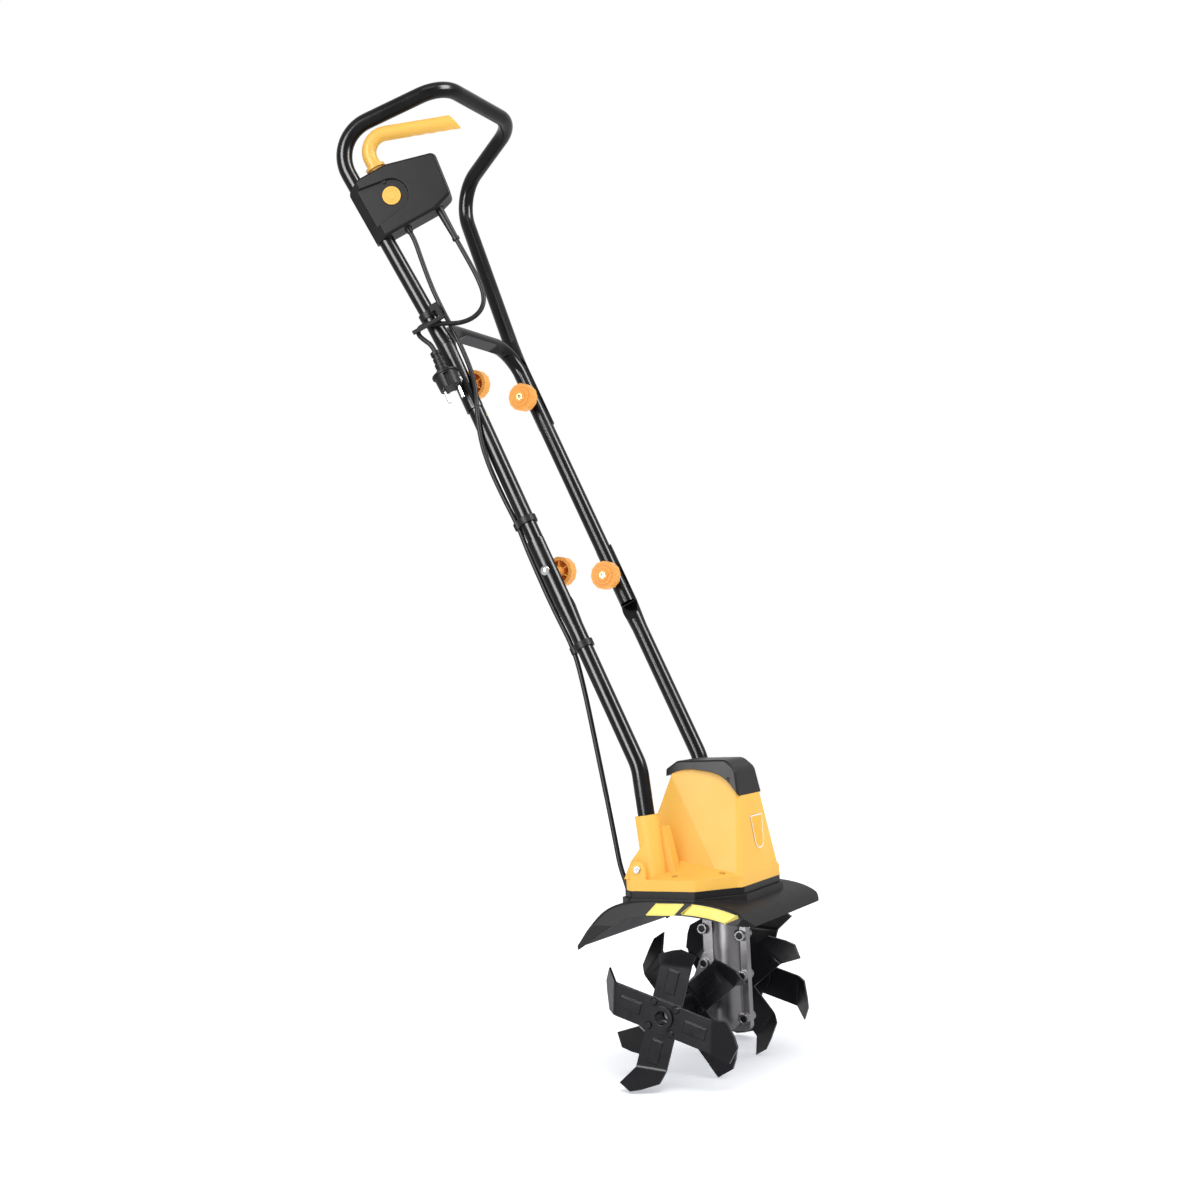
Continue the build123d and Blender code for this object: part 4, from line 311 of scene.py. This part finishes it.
def paintTine():
    finish, shader, spot = startFinish("tinePaint")
    bevel = roundEdges(spot, tinePaint["edge"])
    edge = litAndWornEdges(spot, bevel)
    patch = spot.noise(tinePaint["patchScale"], detail=5, rough=0.6)
    # painted edge highlight, broken up by the paint patches
    paintedEdgeHighlight = edge * patch.ramp(*tinePaint["patchRange"])
    plug(shader, "Base Color", paintedEdgeHighlight.tint(tinePaint["colour"], tinePaint["edgeHighlight"]))
    dull = tinePaint["patchDull"]
    plug(shader, "Roughness", patch * dull + (tinePaint["gloss"] - dull / 2))
    fine = spot.noise(tinePaint["fineScale"], detail=2) * tinePaint["fineShare"]
    ripple = spot.noise(tinePaint["rippleScale"], detail=3) + fine
    plug(shader, "Normal", bump(spot, ripple, tinePaint["ripple"], tinePaint["rippleDepth"], bevel))
    plug(shader, "Specular IOR Level", tinePaint["shine"])
    return finish


# Dark painted casting with a coarse skin
castSkin = {
    "colour": (0.11, 0.106, 0.109),
    # paler tone for random cloud patches, and a painted highlight on the edges
    "high": (0.2, 0.193, 0.198),
    "edge": 0.0012,
    "edgeWearAndHighlight": 0.7,
    "cloudScale": 45.0,
    "cloudWear": 0.3,
    "cloudDull": 0.2,
    "gloss": 0.36,
    "metal": 0.85,
    "skinScale": 480.0,
    "skin": 0.3,
    "skinDepth": 0.0003,
}


def castCase():
    finish, shader, spot = startFinish("castSkin")
    bevel = roundEdges(spot, castSkin["edge"])
    edge = litAndWornEdges(spot, bevel)
    cloud = spot.noise(castSkin["cloudScale"], detail=5)
    # paler edges: partly wear, partly painted edge highlight; the cloud patches are random tone
    wearAndEdgeHighlight = edge * castSkin["edgeWearAndHighlight"] + cloud * castSkin["cloudWear"]
    plug(shader, "Base Color", wearAndEdgeHighlight.tint(castSkin["colour"], castSkin["high"]))
    dull = castSkin["cloudDull"]
    plug(shader, "Roughness", cloud * dull + (castSkin["gloss"] - dull / 2))
    skin = spot.noise(castSkin["skinScale"], detail=4, rough=0.65)
    plug(shader, "Normal", bump(spot, skin, castSkin["skin"], castSkin["skinDepth"], bevel))
    plug(shader, "Metallic", castSkin["metal"])
    return finish


# Bare metals: brushed along one axis, with soft edges
brushed = {
    "edge": 0.0004,
    "lineScale": 700.0,
    "lineShade": 0.6,
    "lineDull": 0.12,
    "line": 0.15,
    "lineDepth": 0.0001,
}
metals = {
    "zincSteel": {
        "colour": (0.4, 0.398, 0.396),
        "shade": (0.3, 0.298, 0.296),
        "gloss": 0.12,
        "streak": (1, 6, 6),
    },
    "gearSteel": {
        "colour": (0.5, 0.5, 0.52),
        "shade": (0.36, 0.36, 0.38),
        "gloss": 0.26,
        "streak": (6, 6, 1),
    },
    "turnedBrass": {
        "colour": (0.78, 0.57, 0.26),
        "shade": (0.62, 0.42, 0.18),
        "gloss": 0.24,
        "streak": (1, 5, 5),
    },
    "castBronze": {
        "colour": (0.66, 0.42, 0.2),
        "shade": (0.5, 0.3, 0.14),
        "gloss": 0.32,
        "streak": (3, 3, 3),
    },
    "enamelCopper": {
        "colour": (0.7, 0.33, 0.16),
        "shade": (0.52, 0.22, 0.1),
        "gloss": 0.3,
        "streak": (8, 8, 1),
    },
    "stackedSheet": {
        "colour": (0.4, 0.4, 0.42),
        "shade": (0.26, 0.26, 0.28),
        "gloss": 0.35,
        "streak": (1, 1, 14),
    },
}


def bareMetal(name):
    metal = metals[name]
    finish, shader, spot = startFinish(name)
    bevel = roundEdges(spot, brushed["edge"])
    lines = spot.noise(brushed["lineScale"], detail=3, rough=0.6, squeeze=metal["streak"])
    plug(shader, "Base Color", (lines * brushed["lineShade"]).tint(metal["colour"], metal["shade"]))
    plug(shader, "Roughness", lines * brushed["lineDull"] + metal["gloss"])
    plug(shader, "Metallic", 1.0)
    plug(shader, "Normal", bump(spot, lines, brushed["line"], brushed["lineDepth"], bevel))
    return finish


# Soft black cable sheath and rubber
sheath = {
    "colour": (0.008, 0.0075, 0.008),
    "bloom": (0.022, 0.021, 0.022),
    "bloomScale": 120.0,
    "bloomRange": (0.4, 0.9),
    "bloomShade": 0.7,
    "bloomDull": 0.15,
    "gloss": 0.42,
    "shine": 0.1,
    "waveScale": 90.0,
    "wave": 0.3,
    "waveDepth": 0.00008,
}


def rubberSheath():
    finish, shader, spot = startFinish("cableSheath")
    bloom = spot.noise(sheath["bloomScale"], detail=4).ramp(*sheath["bloomRange"])
    plug(shader, "Base Color", (bloom * sheath["bloomShade"]).tint(sheath["colour"], sheath["bloom"]))
    plug(shader, "Roughness", bloom * sheath["bloomDull"] + sheath["gloss"])
    wave = spot.noise(sheath["waveScale"], detail=2)
    plug(shader, "Normal", bump(spot, wave, sheath["wave"], sheath["waveDepth"]))
    plug(shader, "Specular IOR Level", sheath["shine"])
    return finish


tubeFinish = paintTube()
blackFinish = mouldBlack("blackMoulding", blackMoulding["boxGloss"], blackMoulding["boxGrainDepth"])
guardFinish = mouldBlack("guardMoulding", blackMoulding["guardGloss"], blackMoulding["guardGrainDepth"])
amberFinish = mouldAmber()
gripFinish = mouldGrip("amberGrip", handled["gripColour"])
knobFinish = mouldGrip("amberKnob", handled["knobColour"])
tineFinish = paintTine()
caseFinish = castCase()
zincFinish = bareMetal("zincSteel")
gearFinish = bareMetal("gearSteel")
brassFinish = bareMetal("turnedBrass")
bronzeFinish = bareMetal("castBronze")
copperFinish = bareMetal("enamelCopper")
sheetFinish = bareMetal("stackedSheet")
sheathFinish = rubberSheath()
print("finishes made")


# Which finish each CAD piece wears
worn = {
    tubeFinish: ["upper_handle", "middle_frame", "lower_tube_right", "lower_tube_left"],
    blackFinish: ["switch_box_front", "switch_box_back", "top_cap", "base_tray", "cord_hook", "cable_clips",
                  "mains_plug", "micro_switch", "carbon_brushes", "fan", "end_frame"],
    guardFinish: ["guard"],
    amberFinish: ["motor_cover"],
    gripFinish: ["switch_lever", "lock_button"],
    knobFinish: ["knob_lower_right", "knob_lower_left", "knob_upper_right", "knob_upper_left"],
    tineFinish: ["tine_strips", "tine_hubs", "tine_rivets", "hub_pins", "case_screws"],
    caseFinish: ["gear_case_right", "gear_case_left"],
    zincFinish: ["clamp_bolts", "switch_box_screws", "cover_screws", "tube_screws", "guard_screws",
                 "plug_pins", "motor_bearings", "worm_bearings", "lever_spring", "button_spring"],
    gearFinish: ["worm_shaft", "spur_gear", "motor_shaft", "motor_bracket", "tine_shaft"],
    brassFinish: ["knob_nut_lower_right", "knob_nut_lower_left",
                  "knob_nut_upper_right", "knob_nut_upper_left"],
    bronzeFinish: ["worm_wheel", "shaft_bushes"],
    copperFinish: ["commutator"],
    sheetFinish: ["stator", "armature"],
    sheathFinish: ["mains_boot", "cable_grommet", "mains_lead", "motor_cable", "shaft_seals"],
}
for finish, names in worn.items():
    for name in names:
        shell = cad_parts[name]
        shell.data.materials.clear()
        shell.data.materials.append(finish)
print("finishes worn")


# Mains lead: out of the boot, down in a bow, over the hook and into the plug
leadRoute = {
    "width": 0.0065,
    "length": 0.249,
    "boxFoot": (-0.131339, 0.207458, 1.108659),     # the box's plane holds these places on the tube
    "neckBend": (-0.1668, 0.277600, 1.263956),
    "gripBend": (-0.0953, 0.136601, 1.332457),
    "points": [                                     # across, up and out in that plane
        (0.084, -0.034, 0),
        (0.084, -0.062, 0),
        (0.0835, -0.092, 0.002),
        (0.080, -0.118, 0.005),
        (0.070, -0.135, 0.009),
        (0.052, -0.143, 0.014),
        (0.031, -0.141, 0.018),
        (0.012, -0.131, 0.020),
        (-0.006, -0.122, 0.020),
        (-0.019, -0.119, 0.020),
        (-0.026, -0.1265, 0.021),
        (-0.0225, -0.139, 0.027),
    ],
    "plugTop": (-0.0175, -0.163, 0.034),
    "plugRun": 0.011,       # straight into the plug
    "plugLean": 24.3,       # degrees from upright
    "smooth": 12,           # steps from point to point
    "round": 6,             # facets on a quarter turn
}


def leadPoints():
    foot, neck, grip = (Vector(leadRoute[key]) for key in ("boxFoot", "neckBend", "gripBend"))
    up = (neck - foot).normalized()
    out = (grip - neck).cross(up).normalized()
    turn = Matrix((up.cross(out), up, out)).transposed()
    points = [foot + turn @ Vector(point) for point in leadRoute["points"]]
    plugTop = foot + turn @ Vector(leadRoute["plugTop"])
    lean = radians(leadRoute["plugLean"])
    return [*points, plugTop + leadRoute["plugRun"] * Vector((0, sin(lean), cos(lean))), plugTop]


def layLead():
    points = leadPoints()
    line = bpy.data.curves.new("mainsLead", "CURVE")
    line.dimensions = "3D"
    run = line.splines.new("NURBS")
    run.points.add(len(points) - 1)
    for point, place in zip(run.points, points):
        point.co = (*place, 1)
    run.order_u = 3
    run.use_endpoint_u = True
    run.resolution_u = leadRoute["smooth"]
    line.bevel_depth = leadRoute["width"] / 2
    line.bevel_resolution = leadRoute["round"]
    line.use_fill_caps = True
    lead = bpy.data.objects.new("mainsLead", line)
    bpy.context.collection.objects.link(lead)
    line.materials.append(sheathFinish)
    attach(lead, "frame")
    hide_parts("mains_lead")


layLead()
print("lead laid")


def pickPoints(piece, wanted):
    bpy.ops.mesh.select_mode(type="VERT")
    bpy.ops.mesh.select_all(action="DESELECT")
    bpy.ops.object.mode_set(mode="OBJECT")
    for point in piece.data.vertices:
        point.select = wanted(point.co)
    bpy.ops.object.mode_set(mode="EDIT")


def bakePlace(piece, place):
    bpy.ops.object.mode_set(mode="OBJECT")
    piece.matrix_world = place
    bpy.ops.object.transform_apply(location=True, rotation=True, scale=True)


plateCut = {"cornerSteps": 5}


# A flat plate in its own plane, x along and y up, with a line inset from its edge;
# the middle has finish 0, the line 1
def cutPlate(piece, corner, margin, line):
    bpy.ops.mesh.bevel(affect="VERTICES", offset=corner, segments=plateCut["cornerSteps"])
    bpy.ops.mesh.select_mode(type="FACE")
    bpy.ops.mesh.select_all(action="SELECT")
    if margin:
        bpy.ops.mesh.inset(thickness=margin)
    piece.active_material_index = 1
    bpy.ops.object.material_slot_assign()
    bpy.ops.mesh.inset(thickness=line)
    piece.active_material_index = 0
    bpy.ops.object.material_slot_assign()


def thicken(piece, sheet):
    bpy.ops.object.mode_set(mode="OBJECT")
    wall = piece.modifiers.new("sheet", "SOLIDIFY")
    wall.thickness = sheet
    wall.offset = 1
    bpy.ops.object.modifier_apply(modifier=wall.name)


# Thin coloured film, a little faded in patches
film = {
    "fadeScale": 90.0,
    "fadeRange": (0.35, 0.75),
    "fadeDull": 0.12,
    "shine": 0.1,
    "grainScale": 500.0,
    "grain": 0.15,
    "grainDepth": 0.00004,
}


def colouredFilm(name, colour, faded, gloss):
    finish, shader, spot = startFinish(name)
    fade = spot.noise(film["fadeScale"], detail=4).ramp(*film["fadeRange"])
    plug(shader, "Base Color", fade.tint(colour, faded))
    plug(shader, "Roughness", fade * film["fadeDull"] + gloss)
    grain = spot.noise(film["grainScale"], detail=2)
    plug(shader, "Normal", bump(spot, grain, film["grain"], film["grainDepth"]))
    plug(shader, "Specular IOR Level", film["shine"])
    return finish


# Two bare yellow plates on the guard's right flange
flangePlates = {
    "edge": (-0.122, -0.156699, 0.228957),     # top edge of the flange beside the axle
    "lean": 22.62,                             # degrees of the flange off upright
    "stand": 0.00012,
    "sheet": 0.00025,
    "corner": 0.0012,
    "margin": 0.0012,
    "line": 0.0004,
    "steps": 24,                               # along a plate, for its bend
    "endZone": 0.99,                           # share of the half length past which a point is an end
    "plates": {
        "shortPlate": {
            "middle": (-0.0066, -0.0122),      # ahead of the axle and up the flange
            "size": (0.0390, 0.0152),
            "slant": 0.011,
            "tilt": 0.5,
            "bend": 0.01,
        },
        "longPlate": {
            "middle": (0.0543, -0.0142),
            "size": (0.0640, 0.0140),
            "slant": 0.011,
            "tilt": -9.4,
            "bend": -19.0,
        },
    },
    "face": {"colour": (0.94, 0.80, 0.16), "faded": (0.90, 0.74, 0.12), "gloss": 0.34},
    "edging": {"colour": (0.62, 0.48, 0.05), "faded": (0.55, 0.42, 0.04), "gloss": 0.36},
}


def stickPlate(name, plate):
    bpy.ops.object.select_all(action="DESELECT")
    bpy.ops.mesh.primitive_grid_add(x_subdivisions=flangePlates["steps"], y_subdivisions=1, size=1)
    piece = bpy.context.object
    piece.name = name
    piece.scale = (*plate["size"], 1)
    bpy.ops.object.transform_apply(location=True, rotation=True, scale=True)
    piece.data.materials.append(yellowFilm)
    piece.data.materials.append(yellowLine)
    nearEnd = flangePlates["endZone"] * plate["size"][0] / 2
    bpy.ops.object.mode_set(mode="EDIT")
    pickPoints(piece, lambda spot: abs(spot.x) > nearEnd)
    cutPlate(piece, flangePlates["corner"], flangePlates["margin"], flangePlates["line"])
    pickPoints(piece, lambda spot: spot.y > 0)
    bpy.ops.transform.translate(value=(plate["slant"], 0, 0))
    bpy.ops.object.mode_set(mode="OBJECT")
    curve = piece.modifiers.new("arch", "SIMPLE_DEFORM")
    curve.deform_method = "BEND"
    curve.deform_axis = "Z"
    curve.angle = radians(plate["bend"])
    bpy.ops.object.modifier_apply(modifier=curve.name)
    along, up = plate["middle"]
    lean = radians(flangePlates["lean"])
    rise = Vector((sin(lean), 0, cos(lean)))
    face = Vector((-cos(lean), 0, sin(lean)))
    ahead = Vector((0, -1, 0))
    middle = Vector(flangePlates["edge"]) + along * ahead + up * rise + flangePlates["stand"] * face
    turn = Matrix((ahead, rise, face)).transposed().to_4x4()
    bakePlace(piece, Matrix.Translation(middle) @ turn @ Matrix.Rotation(radians(plate["tilt"]), 4, "Z"))
    thicken(piece, flangePlates["sheet"])
    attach(piece, "frame")


yellowFilm = colouredFilm("yellowFilm", **flangePlates["face"])
yellowLine = colouredFilm("yellowLine", **flangePlates["edging"])
for plateName, plateShape in flangePlates["plates"].items():
    stickPlate(plateName, plateShape)
print("plates stuck on")


# Bare shield-shaped badge with a white edge on the tower's front
badge = {
    "middle": (0.006, -0.2317, 0.3019),
    "size": (0.040, 0.043),
    "foot": 0.62,          # width of the foot, as a share of the head
    "rake": 5.09,          # degrees
    "round": 0.0095,
    "line": 0.0014,
    "stand": 0.00012,
    "sheet": 0.0003,
    "face": {"colour": (0.93, 0.50, 0.05), "faded": (0.90, 0.45, 0.04), "gloss": 0.32},
    "edging": {"colour": (0.92, 0.91, 0.88), "faded": (0.88, 0.87, 0.84), "gloss": 0.34},
}


def stickBadge():
    bpy.ops.object.select_all(action="DESELECT")
    bpy.ops.mesh.primitive_plane_add(size=1)
    piece = bpy.context.object
    piece.name = "frontBadge"
    piece.scale = (*badge["size"], 1)
    bpy.ops.object.transform_apply(location=True, rotation=True, scale=True)
    piece.data.materials.append(amberFilm)
    piece.data.materials.append(whiteLine)
    bpy.ops.object.mode_set(mode="EDIT")
    pickPoints(piece, lambda spot: spot.y < 0)
    bpy.ops.transform.resize(value=(badge["foot"], 1, 1))
    cutPlate(piece, badge["round"], 0, badge["line"])
    rake = radians(badge["rake"])
    rise = Vector((0, sin(rake), cos(rake)))
    face = Vector((0, -cos(rake), sin(rake)))
    turn = Matrix((Vector((1, 0, 0)), rise, face)).transposed().to_4x4()
    bakePlace(piece, Matrix.Translation(Vector(badge["middle"]) + badge["stand"] * face) @ turn)
    thicken(piece, badge["sheet"])
    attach(piece, "frame")


amberFilm = colouredFilm("amberFilm", **badge["face"])
whiteLine = colouredFilm("whiteLine", **badge["edging"])
stickBadge()
print("badge stuck on")


# White studio: pale floor, soft lamps, white all round for the camera and for reflections
studio = {
    "floorSize": 9.0,
    "floorTones": ((0.94, 0.945, 0.955), (0.97, 0.97, 0.975)),
    "floorPatch": 3.0,
    "floorDull": 0.1,
    "floorGloss": 0.5,
    "floorGlow": (0.88, 0.92, 1, 1),
    "floorGlowStrength": 0.35,
    "sky": 0.92,
    "lamps": {
        "keyLamp": {
            "place": (-1.3, -1.0, 3.3),
            "aim": (0, 0, 0.5),
            "size": (1.4, 1.4),
            "power": 24.0,
        },
        "leftGloss": {
            "place": (-2.55, 0.35, 1.3),
            "aim": (0, 0, 0.8),
            "size": (1.2, 2.2),
            "power": 400.0,
            "glossOnly": True,
        },
        "rightGloss": {
            "place": (0.1, -2.4, 2.5),
            "aim": (0, 0, 0.8),
            "size": (1.0, 2.2),
            "power": 330.0,
            "glossOnly": True,
        },
    },
}


def addFloor():
    bpy.ops.object.select_all(action="DESELECT")
    bpy.ops.mesh.primitive_plane_add(size=studio["floorSize"], location=(0, 0, 0))
    floor = bpy.context.object
    floor.name = "studioFloor"
    bpy.ops.object.transform_apply(location=True, rotation=True, scale=True)
    finish, shader, spot = startFinish("paleFloor")
    patch = spot.noise(studio["floorPatch"], detail=3)
    plug(shader, "Base Color", patch.tint(*studio["floorTones"]))
    plug(shader, "Roughness", patch * studio["floorDull"] + studio["floorGloss"])
    plug(shader, "Specular IOR Level", 0.0)
    plug(shader, "Emission Color", studio["floorGlow"])
    plug(shader, "Emission Strength", studio["floorGlowStrength"])
    floor.data.materials.append(finish)


# A gloss strip shows in shiny surfaces only, so colours keep their plain level
def addLamp(name, place, aim, size, power, glossOnly=False):
    bpy.ops.object.light_add(type="AREA", location=place)
    lamp = bpy.context.object
    lamp.name = name
    lamp.data.shape = "RECTANGLE"
    lamp.data.size, lamp.data.size_y = size
    lamp.data.energy = power
    lamp.rotation_euler = (Vector(aim) - Vector(place)).to_track_quat("-Z", "Y").to_euler()
    lamp.visible_diffuse = not glossOnly


def addSky():
    world = bpy.data.worlds.new("studioSky")
    bpy.context.scene.world = world
    world.use_nodes = True
    tree = world.node_tree
    sky = tree.nodes["Background"]
    rays = tree.nodes.new("ShaderNodeLightPath")
    camera = Sock(tree, rays.outputs["Is Camera Ray"])
    glossy = Sock(tree, rays.outputs["Is Glossy Ray"])
    clear = Sock(tree, rays.outputs["Is Transmission Ray"])
    shown = camera + glossy + clear
    seen = shown.math("MINIMUM", shown, 1.0)
    plug(sky, "Strength", seen * (1 - studio["sky"]) + studio["sky"])
    plug(sky, "Color", (1, 1, 1, 1))


addFloor()
addSky()
for lampName, lampShape in studio["lamps"].items():
    addLamp(lampName, **lampShape)
print("studio lit")
